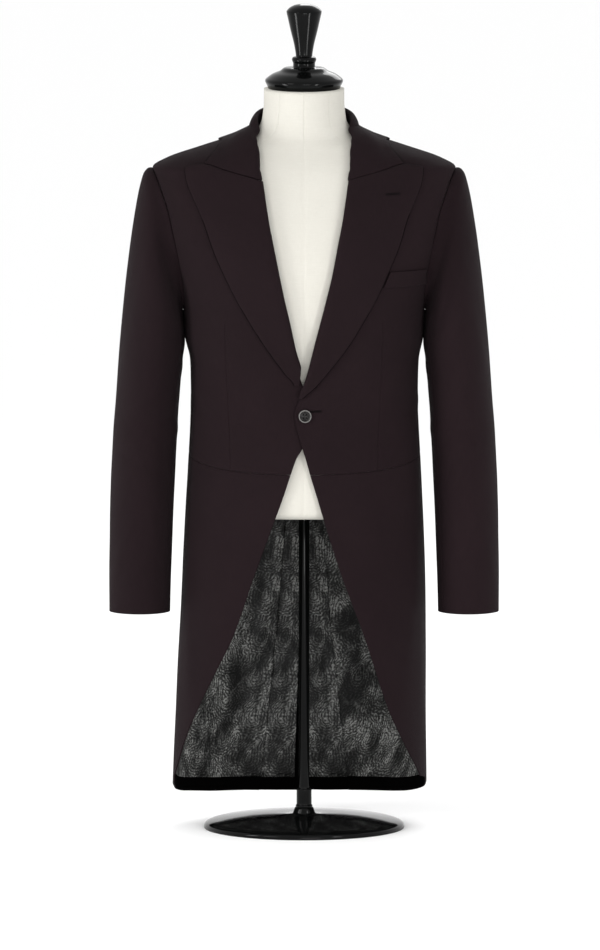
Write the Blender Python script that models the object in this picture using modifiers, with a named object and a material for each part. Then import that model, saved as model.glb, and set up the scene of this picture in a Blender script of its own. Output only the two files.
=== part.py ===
"""Morning coat on a limbless tailor's bust.

The coat is cut and laid out as a tailor would: foreparts, side bodies, skirts,
backs with tails, two-piece sleeves, collar, lapels, welt and lining, each a thin
wall of cloth. Every wall follows one body surface, given by level sections.

Axes: +Z up, -Y is the front, +X is the wearer's left. Origin: centre of the
stand's foot, on the floor. Lengths are millimetres, turns are degrees from the
front centre, and both become metres only when a mesh is made.
"""

from bisect import bisect_right
from collections import namedtuple
from math import acos, asin, copysign, cos, degrees, exp, pi, radians, sin, sqrt

import bmesh
import bpy
import numpy as np
from mathutils import Vector

MM = 0.001
SIGN = {"right": -1, "left": 1}

# Cloth and seams
CLOTH = 2.0
LINING_CLOTH = 1.0
COLLAR_CLOTH = 2.4
SEAM_GAP = 0.3
LAY_GAP = 0.35
LAP_LIFT = 3.2
LAPEL_LIFT = 1.9

# Heights
WAIST_Z_FRONT = 545.0
WAIST_RISE = 42.0
HEM_Z_BACK = 35.0
HEM_RISE = 34.0
HEM_BAND = 20.0
# The skirt's front edge sweeps on into its hem: rise at the edge, from one turn back to another
HEM_SWEEP_RISE = {"right": 16.0, "left": 26.0}
HEM_SWEEP_START = {"right": 81.0, "left": 72.0}
HEM_SWEEP_END = {"right": 118.0, "left": 128.0}
SHOULDER_Z = 994.0
NECK_POINT_Z = 1049.0
NECK_BACK_Z = 1039.0

# Level sections of the coat's outer face: half width to each side, depth to front and back
SQUARENESS = 2.3
Section = namedtuple("Section", "z right left front back")
COAT_SECTIONS = (
    Section(30, 198, 184, 134, 152),
    Section(190, 193, 183, 131, 148),
    Section(345, 184, 182, 127, 142),
    Section(455, 179, 179, 123, 134),
    Section(555, 173, 174, 118, 121),
    Section(615, 170, 171, 114, 108),
    Section(660, 169, 170, 113, 104),
    Section(705, 170, 171, 116, 106),
    Section(740, 177, 177, 120, 110),
    Section(782, 180, 180, 125, 115),
    Section(815, 187, 187, 127, 119),
    Section(864, 202, 202, 125, 122),
    Section(901, 213, 213, 119, 121),
    Section(935, 220, 220, 110, 117),
    Section(964, 225, 225, 100, 110),
    Section(994, 226, 226, 88, 99),
    Section(1007, 206, 206, 81, 92),
    Section(1024, 157, 157, 70, 82),
    Section(1041, 105, 105, 60, 71),
    Section(1053, 75, 75, 52, 65),
    Section(1068, 71, 71, 52, 63),
    Section(1090, 66, 66, 52, 61),
)

# Front edge from the corner of the skirt to the neck: reach from the centre plane to each side
Edge = namedtuple("Edge", "z right left")
FRONT_EDGE = (
    Edge(80, 195, 176),
    Edge(95, 191, 170),
    Edge(135, 180, 151),
    Edge(189, 159, 127),
    Edge(249, 131, 107),
    Edge(299, 107, 91),
    Edge(388, 76, 58),
    Edge(449, 54, 38),
    Edge(509, 32, 20),
    Edge(545, 20, 9),
    Edge(570, 11, 2),
    Edge(583, 3, -2),
    Edge(600, -3, -7),
    Edge(620, -8, -12),
    Edge(636, -10, -14),
    Edge(648, -9, -11),
    Edge(658, -5, -6),
    Edge(672, 0, 0.5),
    Edge(697, 8, 8.5),
    Edge(721, 13.4, 14),
    Edge(770, 23.4, 26.4),
    Edge(842, 39.4, 44.4),
    Edge(913, 53.4, 58.4),
    Edge(983, 67, 69.6),
    Edge(1010, 74.5, 75),
    Edge(1030, 79, 79),
    Edge(1049, 81, 81),
)

# Lapels: reach of the roll line and of the outer edge, to each side
LapelRow = namedtuple("LapelRow", "z right_roll right_edge left_roll left_edge")
LAPELS = (
    LapelRow(658, 11, 16, -8.5, -3.5),
    LapelRow(678, 8, 15.5, -1.5, 18),
    LapelRow(699, 4.8, 31, 5, 36),
    LapelRow(737, 13, 58, 14.5, 66),
    LapelRow(775, 21, 82, 24.5, 89),
    LapelRow(808, 28.7, 101, 33, 107.6),
    LapelRow(848, 37, 121, 42.5, 125.5),
    LapelRow(893, 46, 141, 51, 145),
    LapelRow(918, 51, 149.7, 56, 152.4),
    LapelRow(955, 57, 161.7, 62, 163.8),
    LapelRow(985, 61.5, 171, 66.5, 172),
    LapelRow(1000, 64, 176.5, 69, 176.5),
)
LAPEL_FOOT = {"right": 679.0, "left": 659.0}
LAPEL_TURN_START = {"right": 699.0, "left": 661.0}
LAPEL_TURN_SPAN = 24.0
LAPEL_TOP = 981.0
LAPEL_BEND = 120.0

# Across a lapel, roll line to edge: share of the width, inset at the foot and where it is turned
LapelColumn = namedtuple("LapelColumn", "share foot turned lift")
LAPEL_COLUMNS = (
    LapelColumn(0.0, 0.0, 2.7, -1.2),
    LapelColumn(0.0, 0.5, 2.0, 1.2),
    LapelColumn(0.0, 1.0, 3.4, 3.2),
    LapelColumn(0.12, 1.0, 1.0, 3.9),
    LapelColumn(0.30, 1.0, 1.0, 3.2),
    LapelColumn(0.50, 0.8, 0.8, 2.5),
    LapelColumn(0.70, 0.5, 0.5, 2.1),
    LapelColumn(0.86, 0.3, 0.3, 2.1),
    LapelColumn(1.0, 0.0, 0.0, 1.8),
)

# Gorge: the seam between lapel and collar, then the peak's top edge, by reach from the centre
Gorge = namedtuple("Gorge", "x z")
GORGE = (
    Gorge(55, 980),
    Gorge(62, 981.5),
    Gorge(90, 989),
    Gorge(119, 996.7),
    Gorge(148, 1003.5),
    Gorge(162, 1002),
    Gorge(177, 999),
)

# Collar: turn and height of its neck seam, roll and edge, from the gorge round to the centre back
Station = namedtuple("Station", "step neck_turn neck_z roll_turn roll_z edge_turn edge_z bulge")
COLLAR_STATIONS = (
    Station(0, 14.6, 991, 14.1, 994, 43.0, 1008, 0.8),
    Station(1, 16.7, 1004, 16.4, 1008, 46.0, 1014, 1.2),
    Station(2, 22.3, 1018, 22.2, 1023, 51.5, 1021, 1.6),
    Station(3, 33.2, 1032, 35.0, 1037, 59.0, 1027, 2.2),
    Station(4, 58.0, 1045.5, 62.0, 1052, 71.0, 1032, 3.0),
    Station(5, 85.0, 1050.5, 84.0, 1066, 84.0, 1035, 3.5),
    Station(6, 108.0, 1048, 104.0, 1073, 106.0, 1032, 3.5),
    Station(7, 132.0, 1045, 128.0, 1077, 130.0, 1026, 3.0),
    Station(8, 156.0, 1042, 153.0, 1079, 154.0, 1022, 2.4),
    Station(9, 180.0, 1040.5, 180.0, 1080, 180.0, 1020, 2.0),
)
COLLAR_STEPS = 15
# Across the collar: part of the way from neck seam to roll, then from roll to edge
CollarRow = namedtuple("CollarRow", "leg share lift")
COLLAR_ROWS = (
    CollarRow("stand", 0.0, 0.0),
    CollarRow("stand", 0.5, 0.0),
    CollarRow("stand", 0.94, 0.1),
    CollarRow("stand", 1.0, 0.9),
    CollarRow("fall", 0.05, 2.2),
    CollarRow("fall", 0.22, 2.6),
    CollarRow("fall", 0.45, 2.3),
    CollarRow("fall", 0.72, 1.2),
    CollarRow("fall", 1.0, 0.7),
)

# Armhole: an upright loop on the body's side, and the turns round it where seams meet it
ARMHOLE_Z = 887.0
ARMHOLE_HALF = 107.0
ARMHOLE_FRONT = 56.0
ARMHOLE_BACK = 58.0
ARMHOLE_CLEAR = 1.1
SIDE_SEAM_TURN = 145.0
BACK_SEAM_TURN = 250.0
FRONT_TURNS = tuple(np.linspace(0, SIDE_SEAM_TURN, 9))
SIDE_TURNS = tuple(np.linspace(SIDE_SEAM_TURN, BACK_SEAM_TURN, 6))
BACK_TURNS = tuple(np.linspace(BACK_SEAM_TURN, 360, 7))
FORE_SLEEVE_SEAM = 8

# Sleeve rings: highest outer point, lowest inner point, reach to front and back
Ring = namedtuple("Ring", "outer_x outer_z inner_x inner_z front back")
SLEEVE_RINGS = (
    Ring(237, 988, 181.2, 762, 60, 62),
    Ring(244, 966, 180.6, 756, 66, 68),
    Ring(250.5, 933, 180, 750, 72, 73),
    Ring(257.5, 890, 179.4, 745, 76, 76),
    Ring(264.5, 838, 178.7, 740, 77, 77),
    Ring(270.5, 780, 178.2, 731, 77, 76),
    Ring(275.5, 722, 181.8, 704, 76, 74),
    Ring(280, 660, 185.5, 655, 74, 71),
    Ring(285.5, 590, 190, 590, 72, 64),
    Ring(288.8, 520, 193, 520, 74, 52),
    Ring(290.4, 450, 196.2, 450, 77, 38),
    Ring(291, 385, 198.6, 385, 79, 24),
    Ring(291, 330.5, 200, 330.5, 80, 12),
)
SLEEVE_START = -1.0
SLEEVE_STEP_OUT = 3.4

# Back: the tail's outer edge over the side pleat, and the vent at the centre
Pleat = namedtuple("Pleat", "z x")
PLEAT = (Pleat(35, 86), Pleat(355, 54), Pleat(500, 44), Pleat(587, 42))
PLEAT_LAP = 19.0
VENT_TOP_Z = 566.0
VENT_LAP = 28.0
VENT_BAND = (Pleat(35, 16), Pleat(355, 6), Pleat(560, 4))
LAP_START_Z = 645.0
LAP_FULL_Z = 594.0

# Soft flutes of the skirt, deepest at the hem: turn, spread of the turn, depth
Flute = namedtuple("Flute", "turn spread depth")
FLUTES = (
    Flute(-158, 7, 3.0),
    Flute(-136, 9, -5.0),
    Flute(-112, 9, 4.0),
    Flute(112, 10, 5.0),
    Flute(134, 9, -4.5),
    Flute(160, 8, 2.5),
)
FLUTE_TOP_Z = 440.0

# Breast welt, on the wearer's left
WELT_OUTER_X = 181.0
WELT_TOP_Z = 848.0
WELT_FOOT_Z = 824.0
WELT_LIFT = 1.0

# Buttons
BUTTON_RADIUS = 10.0
FRONT_BUTTON_X = 1.5
FRONT_BUTTON_Z = 633.0
WAIST_BUTTON_X = 50.0
WAIST_BUTTON_Z = 596.0
BUTTON_CLEAR = 0.5
# Radius and height, from the middle of the top face to the middle of the underside
BUTTON_PROFILE = (
    (0, 2.3), (5.6, 2.4), (7.2, 3.3), (8.2, 3.7), (9.2, 3.4), (10, 2.4), (9.8, 1.2), (8, 0.2), (6.5, 0), (0, 0)
)

# Bust: clearance inside the coat, then level rings of the neck
BUST_FOOT_Z = 476.0
BUST_CLEAR = 6.0
BUST_REST_CLEAR = 0.9
BustRow = namedtuple("BustRow", "z tuck")
BUST_ROWS = (
    BustRow(476, 13), BustRow(479, 7), BustRow(486, 2), BustRow(500, 0), BustRow(545, 0), BustRow(590, 0),
    BustRow(630, 0), BustRow(665, 0), BustRow(705, 0), BustRow(745, 0), BustRow(785, 0), BustRow(825, 0),
    BustRow(865, 0), BustRow(905, 0), BustRow(940, 0), BustRow(970, 0), BustRow(990, 0), BustRow(1004, 0),
    BustRow(1015, 0), BustRow(1025, 0), BustRow(1034, 0),
)
NeckRow = namedtuple("NeckRow", "z half front back")
NECK_ROWS = (
    NeckRow(1041, 87, 52, 60),
    NeckRow(1047, 76, 51, 58),
    NeckRow(1055, 68, 51, 56),
    NeckRow(1064, 63.5, 52, 55),
    NeckRow(1075, 61.5, 53, 55),
    NeckRow(1093, 60, 56, 57),
    NeckRow(1112, 60, 59, 59),
)
BUST_COLUMNS = 24

# Turned parts: radius and height, from the middle of the top down to the middle of the underside
CAP_PROFILE = (
    (0, 1239), (12, 1238), (21, 1234.5), (26.3, 1226.5), (25.2, 1218), (20, 1198), (14.6, 1176), (12.3, 1160.5),
    (16.6, 1159), (18.3, 1155.5), (16.4, 1149), (16.6, 1144.5), (29, 1143.3), (36, 1137.5), (47, 1133.5),
    (55, 1129.6), (57.5, 1124.5), (56.5, 1118), (54, 1112.4), (0, 1112.4)
)
POLE_RADIUS = 8.0
FOOT_PROFILE = (
    (0, 30), (13, 30), (15, 27), (18, 20.5), (80, 17), (132, 11.5), (146, 8), (150, 3.5), (150, 0), (0, 0)
)

# Colour, roughness and metallic value of each finish
Finish = namedtuple("Finish", "colour roughness metallic")
FINISHES = {
    "worsted": Finish((0.018, 0.016, 0.017), 0.82, 0.0),
    "lining": Finish((0.045, 0.045, 0.05), 0.42, 0.0),
    "horn": Finish((0.03, 0.028, 0.028), 0.3, 0.0),
    "linen": Finish((0.78, 0.74, 0.66), 0.85, 0.0),
    "lacquer": Finish((0.006, 0.006, 0.007), 0.12, 0.0),
}


class Curve:
    """A smooth curve through the rows of a table that never passes beyond them."""

    def __init__(self, table, column, key="z"):
        self.at = [getattr(row, key) for row in table]
        self.values = [getattr(row, column) for row in table]
        steps = np.diff(self.values) / np.diff(self.at)
        inner = [0.0 if a * b <= 0 else 2 * a * b / (a + b) for a, b in zip(steps, steps[1:])]
        self.slopes = [steps[0], *inner, steps[-1]]

    def __call__(self, at):
        at = min(max(at, self.at[0]), self.at[-1])
        i = min(bisect_right(self.at, at) - 1, len(self.at) - 2)
        span = self.at[i + 1] - self.at[i]
        t = (at - self.at[i]) / span
        start, end = self.values[i], self.values[i + 1]
        bend = (1 - t) * self.slopes[i] - t * self.slopes[i + 1]
        return start + (end - start) * t * t * (3 - 2 * t) + span * t * (1 - t) * bend


WIDTH = {side: Curve(COAT_SECTIONS, side) for side in SIGN}
DEPTH = {way: Curve(COAT_SECTIONS, way) for way in ("front", "back")}
EDGE = {side: Curve(FRONT_EDGE, side) for side in SIGN}
LAPEL = {name: Curve(LAPELS, name) for name in LapelRow._fields[1:]}
GORGE_Z = Curve(GORGE, "z", "x")
PLEAT_X = Curve(PLEAT, "x")
BAND_X = Curve(VENT_BAND, "x")

Spot = namedtuple("Spot", "turn z lift")


def between(start, end, share):
    return start + (end - start) * share


def rising(low, high, value):
    """A soft step from 0 at low to 1 at high; low may be the greater."""
    t = min(max((value - low) / (high - low), 0.0), 1.0)
    return t * t * (3 - 2 * t)


def body(turn, z):
    """Point of the coat's outer face, before flutes."""
    across = sin(radians(turn))
    along = cos(radians(turn))
    half = WIDTH["left" if across >= 0 else "right"](z)
    deep = DEPTH["front" if along >= 0 else "back"](z)
    power = 2 / SQUARENESS
    x = copysign(half * abs(across) ** power, across)
    y = copysign(deep * abs(along) ** power, -along)
    return Vector((x, y, z))


def flute(turn, z):
    """How far the flutes push the skirt out."""
    fall = rising(FLUTE_TOP_Z, HEM_Z_BACK, z)
    return fall * sum(row.depth * exp(-(((turn - row.turn) / row.spread) ** 2)) for row in FLUTES)


def skin(spot):
    """Point above the coat's outer face, along its outward normal."""
    across = body(spot.turn + 0.5, spot.z) - body(spot.turn - 0.5, spot.z)
    up = body(spot.turn, spot.z + 1) - body(spot.turn, spot.z - 1)
    outward = across.cross(up).normalized()
    return body(spot.turn, spot.z) + outward * (spot.lift + flute(spot.turn, spot.z))


def turn_at(side, x, z, back=False):
    """Turn to that side of a point at reach x from the centre plane."""
    share = min(abs(x) / WIDTH[side](z), 1.0)
    turn = degrees(asin(copysign(share ** (SQUARENESS / 2), x)))
    return 180.0 - turn if back else turn


def turn_at_depth(y, z):
    """Turn of a point of the body's side at depth y."""
    deep = DEPTH["front" if y < 0 else "back"](z)
    return degrees(acos(copysign(min(abs(y) / deep, 1.0) ** (SQUARENESS / 2), -y)))


def waist_z(turn):
    return WAIST_Z_FRONT + WAIST_RISE * (1 - cos(radians(turn))) / 2


def hem_z(turn):
    return HEM_Z_BACK + HEM_RISE * (1 + cos(radians(turn))) / 2


def skirt_hem_z(side, turn):
    """Height of a skirt's hem, which sweeps up towards the front edge."""
    sweep = HEM_SWEEP_RISE[side] * rising(HEM_SWEEP_END[side], HEM_SWEEP_START[side], turn)
    return hem_z(turn) + sweep


def armhole(around):
    """Depth and height of the armhole's edge, at an angle round it from the shoulder to the front."""
    reach = ARMHOLE_FRONT if sin(radians(around)) > 0 else ARMHOLE_BACK
    return -reach * sin(radians(around)), ARMHOLE_Z + ARMHOLE_HALF * cos(radians(around))


def armhole_turn(z, reach):
    """Turn of the armhole's front or back edge at a height; the shoulder seam above it."""
    level = min(max((z - ARMHOLE_Z) / ARMHOLE_HALF, -1.0), 1.0)
    return turn_at_depth(reach * sqrt(1 - level * level), z)


SIDE_SEAM_TOP_Z = armhole(SIDE_SEAM_TURN)[1]
BACK_SEAM_TOP_Z = armhole(BACK_SEAM_TURN)[1]
BACK_SEAM_FOOT_Z = waist_z(168.6)


def side_seam(z):
    """Turn of the seam between forepart and side body."""
    top = armhole_turn(SIDE_SEAM_TOP_Z, -ARMHOLE_FRONT)
    return between(top + 3, top, rising(WAIST_Z_FRONT, SIDE_SEAM_TOP_Z, z))


def back_seam(side, z):
    """Turn of the curved seam between side body and back."""
    top = armhole_turn(BACK_SEAM_TOP_Z, ARMHOLE_BACK)
    foot = turn_at(side, PLEAT_X(BACK_SEAM_FOOT_Z), BACK_SEAM_FOOT_Z, back=True)
    share = min(max((BACK_SEAM_TOP_Z - z) / (BACK_SEAM_TOP_Z - BACK_SEAM_FOOT_Z), 0.0), 1.0)
    return between(top, foot, sin(share * pi / 2) ** 0.8)


def settled(level, mark):
    """Turn where a mark that depends on height meets a course whose height depends on turn."""
    turn = 90.0
    for _ in range(8):
        turn = mark(level(turn))
    return turn


def course(level, marks):
    """Spots along one course of a panel."""
    turns = [settled(level, mark) for mark in marks]
    return [Spot(turn, level(turn), 0.0) for turn in turns]


def evenly(start, end, shares):
    """Marks that share out the way from one mark to another."""
    return [lambda z, share=share: between(start(z), end(z), share) for share in shares]


def raised(grid, lift):
    """The same spots, lifted further by a function of the spot."""
    return [[spot._replace(lift=spot.lift + lift(spot)) for spot in row] for row in grid]


def front_lap_lift(spot):
    """The wearer's left front lies over the right one round the button."""
    x = body(spot.turn, spot.z).x
    return LAP_LIFT * rising(64, 16, x) * rising(556, 584, spot.z) * rising(790, 705, spot.z)


def tail_lift(spot):
    """The tail lies over the skirt's pleat, from a soft rise above the waist."""
    return LAP_LIFT * rising(LAP_START_Z, LAP_FULL_Z, spot.z)


def vent_lift(spot):
    """The left tail lies over the right one at the centre."""
    x = body(spot.turn, spot.z).x
    return LAP_LIFT * rising(34, 10, x) * rising(LAP_START_Z, LAP_FULL_Z, spot.z)


def finish_material(name):
    """The Principled material of a finish."""
    finish = FINISHES[name]
    material = bpy.data.materials.new(name)
    material.use_nodes = True
    shader = material.node_tree.nodes["Principled BSDF"]
    shader.inputs["Base Color"].default_value = (*finish.colour, 1)
    shader.inputs["Roughness"].default_value = finish.roughness
    shader.inputs["Metallic"].default_value = finish.metallic
    return material


def add_object(name, data, finish):
    """Object in the coat's collection, with its own material."""
    data.materials.append(finish_material(finish))
    item = bpy.data.objects.new(name, data)
    bpy.data.collections["morning_coat"].objects.link(item)
    return item


def pulled_in(rows, gap):
    """Rows of points with every border drawn towards its neighbours by a gap."""
    rows = [list(row) for row in rows]
    for row in rows:
        for end, inner in ((0, 1), (-1, -2)):
            row[end] = row[end] + (row[inner] - row[end]).normalized() * gap
    for end, inner in ((0, 1), (-1, -2)):
        rows[end] = [a + (b - a).normalized() * gap for a, b in zip(rows[end], rows[inner])]
    return rows


def sheet(name, rows, thickness, finish):
    """A wall of cloth on a grid of points, thickened to the side that its rows turn out."""
    wide = len(rows[0])
    points = [point * MM for row in rows for point in row]
    faces = [
        (i * wide + j, i * wide + j + 1, (i + 1) * wide + j + 1, (i + 1) * wide + j)
        for i in range(len(rows) - 1)
        for j in range(wide - 1)
    ]
    mesh = bpy.data.meshes.new(name)
    mesh.from_pydata(points, [], faces)
    mesh.shade_smooth()
    mesh.set_sharp_from_angle(angle=radians(50))
    item = add_object(name, mesh, finish)
    wall = item.modifiers.new("Cloth", "SOLIDIFY")
    wall.thickness = thickness * MM
    wall.offset = 1
    return item


def panel(name, side, grid, thickness=CLOTH, finish="worsted", gap=SEAM_GAP):
    """A panel whose outer face passes through a grid of spots of the body, to one side."""
    turned = grid if side == "left" else [row[::-1] for row in grid]
    rows = [
        [skin(Spot(SIGN[side] * spot.turn, spot.z, spot.lift - thickness)) for spot in row]
        for row in turned
    ]
    return sheet(f"{name}_{side}", pulled_in(rows, gap / 2), thickness, finish)


def lined(grid):
    """The same grid inside its panel, for the lining."""
    return raised(grid, lambda spot: -CLOTH - LAY_GAP)


def waist_fan(shares, top_z):
    """Courses that fan out from the waist seam to a level line."""
    return [lambda turn, share=share: between(waist_z(turn), top_z, share) for share in shares]


def levels(heights):
    return [lambda turn, z=z: z for z in heights]


def build_forepart(side):
    """Front above the waist seam, from the edge or roll line to side seam, armhole and shoulder."""

    def outer(z):
        return side_seam(z) if z < SIDE_SEAM_TOP_Z else armhole_turn(z, -ARMHOLE_FRONT)

    def edge(z):
        return turn_at(side, EDGE[side](z), z)

    marks = evenly(edge, outer, np.linspace(0, 1, 10))
    courses = waist_fan(np.linspace(0, 1, 10)[:-1], SIDE_SEAM_TOP_Z)
    courses += levels(armhole(around)[1] for around in reversed(FRONT_TURNS))
    courses += levels((1004, 1015, 1027, 1038, NECK_POINT_Z - 2.5))
    grid = [course(level, marks) for level in courses]
    if side == "left":
        grid = raised(grid, front_lap_lift)
    panel("forepart", side, grid)


def build_side_body(side):
    """Panel under the arm, between the side seam and the curved back seam."""
    grid = []
    for height in np.linspace(0, 1, 10):
        row = []
        for around in SIDE_TURNS:
            share = (around - SIDE_SEAM_TURN) / (BACK_SEAM_TURN - SIDE_SEAM_TURN)
            depth, top_z = armhole(around)
            foot_turn = between(side_seam(WAIST_Z_FRONT), back_seam(side, BACK_SEAM_FOOT_Z), share)
            z = between(waist_z(foot_turn), top_z, height)
            turn = between(side_seam(z), back_seam(side, z), share)
            top_turn = between(side_seam(top_z), back_seam(side, top_z), share)
            turn += (turn_at_depth(depth, top_z) - top_turn) * height ** 3
            row.append(Spot(turn, z, 0.0))
        grid.append(row)
    panel("side_body", side, grid, gap=2 * SEAM_GAP)


def tail_marks(side):
    """Marks across a tail: its edge, the pleat under it, the lining's edge at the vent, the vent."""

    def at(reach):
        return lambda z: turn_at(side, reach(z), z, back=True)

    def pleat(z):
        return PLEAT_X(z) - PLEAT_LAP

    band = BAND_X if side == "right" else (lambda z: -1.5 * rising(VENT_TOP_Z + 30, VENT_TOP_Z, z) + 4)
    inner = evenly(at(pleat), at(band), (0, 1 / 3, 2 / 3, 1))
    return [at(PLEAT_X), *inner, at(lambda z: vent_reach(side, z))]


def vent_reach(side, z):
    """Reach of the back's centre edge: the left tail passes the centre below the vent's top."""
    if side == "right":
        return 0.0
    return -VENT_LAP * rising(VENT_TOP_Z, VENT_TOP_Z - 10, z)


def build_back(side):
    """Back in one piece from the neck to the hem of its tail, and the tail's lining."""

    def outer(z):
        if z < BACK_SEAM_TOP_Z:
            return back_seam(side, z)
        return armhole_turn(z, ARMHOLE_BACK)

    def tail_level(share):
        return lambda turn: between(hem_z(turn), waist_z(turn), share)

    def neck_level(share):
        def level(turn):
            top = between(NECK_POINT_Z - 2.5, NECK_BACK_Z, min(max((turn - 90) / 90, 0.0), 1.0))
            return between(SHOULDER_Z, top, share)

        return level

    band = HEM_BAND / (waist_z(180) - HEM_Z_BACK)
    vent = (VENT_TOP_Z - HEM_Z_BACK) / (waist_z(180) - HEM_Z_BACK)
    tail_shares = [0, *np.linspace(band, vent - 0.02, 11), vent]
    body_marks = evenly(outer, lambda z: 180.0, np.linspace(0, 1, 6))
    tail = [course(tail_level(share), tail_marks(side)) for share in tail_shares]
    above = waist_fan(np.linspace(0, 1, 10)[:-1], BACK_SEAM_TOP_Z)
    above += levels(armhole(around)[1] for around in BACK_TURNS)
    above += [neck_level(share) for share in (0.2, 0.4, 0.6, 0.8, 1.0)]
    grid = tail + [course(level, body_marks) for level in above]
    grid = raised(grid, tail_lift)
    if side == "left":
        grid = raised(grid, vent_lift)
    panel("back", side, grid)
    lining = [row[1:-1] for row in grid[1:len(tail)]]
    panel("tail_lining", side, lined(lining), LINING_CLOTH, "lining")


def build_skirt(side):
    """Cutaway skirt from its front edge to the pleat under the tail, and its lining."""

    def pleat(z):
        lap = PLEAT_LAP * rising(BACK_SEAM_FOOT_Z, BACK_SEAM_FOOT_Z - 45, z)
        return turn_at(side, PLEAT_X(z) - lap, z, back=True)

    def edge(z):
        return turn_at(side, EDGE[side](z), z)

    def facing(z):
        return edge(z) + HEM_BAND / 3.0

    def level(share):
        return lambda turn: between(skirt_hem_z(side, turn), waist_z(turn), share)

    band = HEM_BAND / (waist_z(90) - hem_z(90))
    marks = [edge, *evenly(facing, pleat, np.linspace(0, 1, 13))]
    shares = [0, *np.linspace(band, 0.97, 12), 1]
    grid = [course(level(share), marks) for share in shares]
    panel("skirt", side, grid, gap=2 * SEAM_GAP)
    lining = [row[1:] for row in grid[1:-1]]
    panel("skirt_lining", side, lined(lining), LINING_CLOTH, "lining")


def build_lapel(side):
    """Lapel turned back over the forepart, from its foot to gorge and peak."""
    heights = [*np.linspace(LAPEL_FOOT[side], LAPEL_TOP, 15)]
    grid = []
    for height in heights:
        roll = LAPEL[f"{side}_roll"](height)
        edge = LAPEL[f"{side}_edge"](height)
        wrap = rising(0, LAPEL_TURN_SPAN, height - LAPEL_TURN_START[side])
        rise = rising(LAPEL_TOP - LAPEL_BEND, LAPEL_TOP, height)
        row = []
        for column in LAPEL_COLUMNS:
            edge_here = between(edge, GORGE[-1].x, rise ** 3)
            x = between(roll, edge_here, column.share) + between(column.foot, column.turned, wrap)
            z = height + (GORGE_Z(x) - LAPEL_TOP) * rise
            lift = between(LAPEL_LIFT, column.lift, wrap)
            row.append(Spot(turn_at(side, x, z), z, lift + CLOTH))
        grid.append(row)
    if side == "left":
        grid = raised(grid, front_lap_lift)
    panel("lapel", side, grid)


def collar_stations():
    """The collar's stations, shared out evenly along its table."""
    curves = {name: Curve(COLLAR_STATIONS, name, "step") for name in Station._fields[1:]}
    steps = np.linspace(0, COLLAR_STATIONS[-1].step, COLLAR_STEPS)
    return [Station(step, **{name: curve(step) for name, curve in curves.items()}) for step in steps]


def collar_spot(station, row):
    """Spot of the collar's inner face: up its stand, then out and down its fall."""
    if row.leg == "stand":
        turn = between(station.neck_turn, station.roll_turn, row.share)
        z = between(station.neck_z, station.roll_z, row.share)
        return Spot(turn, z, row.lift)
    turn = between(station.roll_turn, station.edge_turn, row.share)
    z = between(station.roll_z, station.edge_z, row.share)
    return Spot(turn, z, row.lift + station.bulge * sin(pi * min(row.share * 1.3, 1.0)))


def gorge_row():
    """The collar's end, along the gorge seam of the lapel."""
    row = []
    for x, lift in ((66.5, 0.0), (65.5, 0.0), (64.6, 0.1), (64.2, 0.9), (66, 2.2), (84, 3.4), (104, 3.0), (127, 2.0), (147.5, 1.1)):
        z = GORGE_Z(x) + 0.9
        row.append(Spot(turn_at("left", x, z), z, lift))
    return row


def build_collar():
    """Collar in one piece: its stand in the neck, turned over into the fall."""
    half = [gorge_row()]
    half += [[collar_spot(station, row) for row in COLLAR_ROWS] for station in collar_stations()]
    left = [[skin(spot) for spot in row] for row in half]
    right = [[skin(spot._replace(turn=-spot.turn)) for spot in row] for row in half[:-1]]
    sheet("collar", left + right[::-1], COLLAR_CLOTH, "worsted")


def sleeve_rings():
    """Points of the sleeve's inner face, ring by ring, from the armhole to the cuff."""
    turns = FRONT_TURNS + SIDE_TURNS[1:] + BACK_TURNS[1:]
    start = []
    for around in turns:
        depth, z = armhole(around)
        x = body(turn_at_depth(depth, z), z).x
        away = Vector((0, depth, z - ARMHOLE_Z)).normalized()
        start.append(Vector((x, depth, z)) - away * (CLOTH + ARMHOLE_CLEAR))
    rings = [[point + Vector((step, 0, 0)) for point in start] for step in (SLEEVE_START, SLEEVE_STEP_OUT)]
    for ring in SLEEVE_RINGS:
        outer = Vector((ring.outer_x, 0, ring.outer_z))
        inner = Vector((ring.inner_x, 0, ring.inner_z))
        middle = (outer + inner) / 2 + Vector((0, (ring.back - ring.front) / 2, 0))
        half = (outer - inner) / 2
        half = half.normalized() * (half.length - CLOTH)
        forward = Vector((0, CLOTH - (ring.front + ring.back) / 2, 0))
        rings.append([
            middle + half * cos(radians(around)) + forward * sin(radians(around)) for around in turns
        ])
    return rings


def build_sleeve(side):
    """Two-piece sleeve: the top sleeve outside, the under sleeve against the body."""
    rings = sleeve_rings()
    back_seam_index = len(FRONT_TURNS) + len(SIDE_TURNS) - 2
    top = [ring[back_seam_index:-1] + ring[:FORE_SLEEVE_SEAM + 1] for ring in rings]
    under = [ring[FORE_SLEEVE_SEAM:back_seam_index + 1] for ring in rings]
    for name, rows in (("top_sleeve", top), ("under_sleeve", under)):
        if side == "right":
            rows = [[Vector((-point.x, point.y, point.z)) for point in row[::-1]] for row in rows]
        sheet(f"{name}_{side}", pulled_in(rows, SEAM_GAP), CLOTH, "worsted")


def build_welt():
    """Welt of the breast pocket, from the lapel's edge towards the armhole."""
    grid = []
    for z in np.linspace(WELT_FOOT_Z, WELT_TOP_Z, 3):
        start = LAPEL["left_edge"](z) + 2.2
        grid.append([
            Spot(turn_at("left", between(start, WELT_OUTER_X, share), z), z, WELT_LIFT + CLOTH)
            for share in np.linspace(0, 1, 6)
        ])
    panel("breast_welt", "left", grid).name = "breast_welt"


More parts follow.
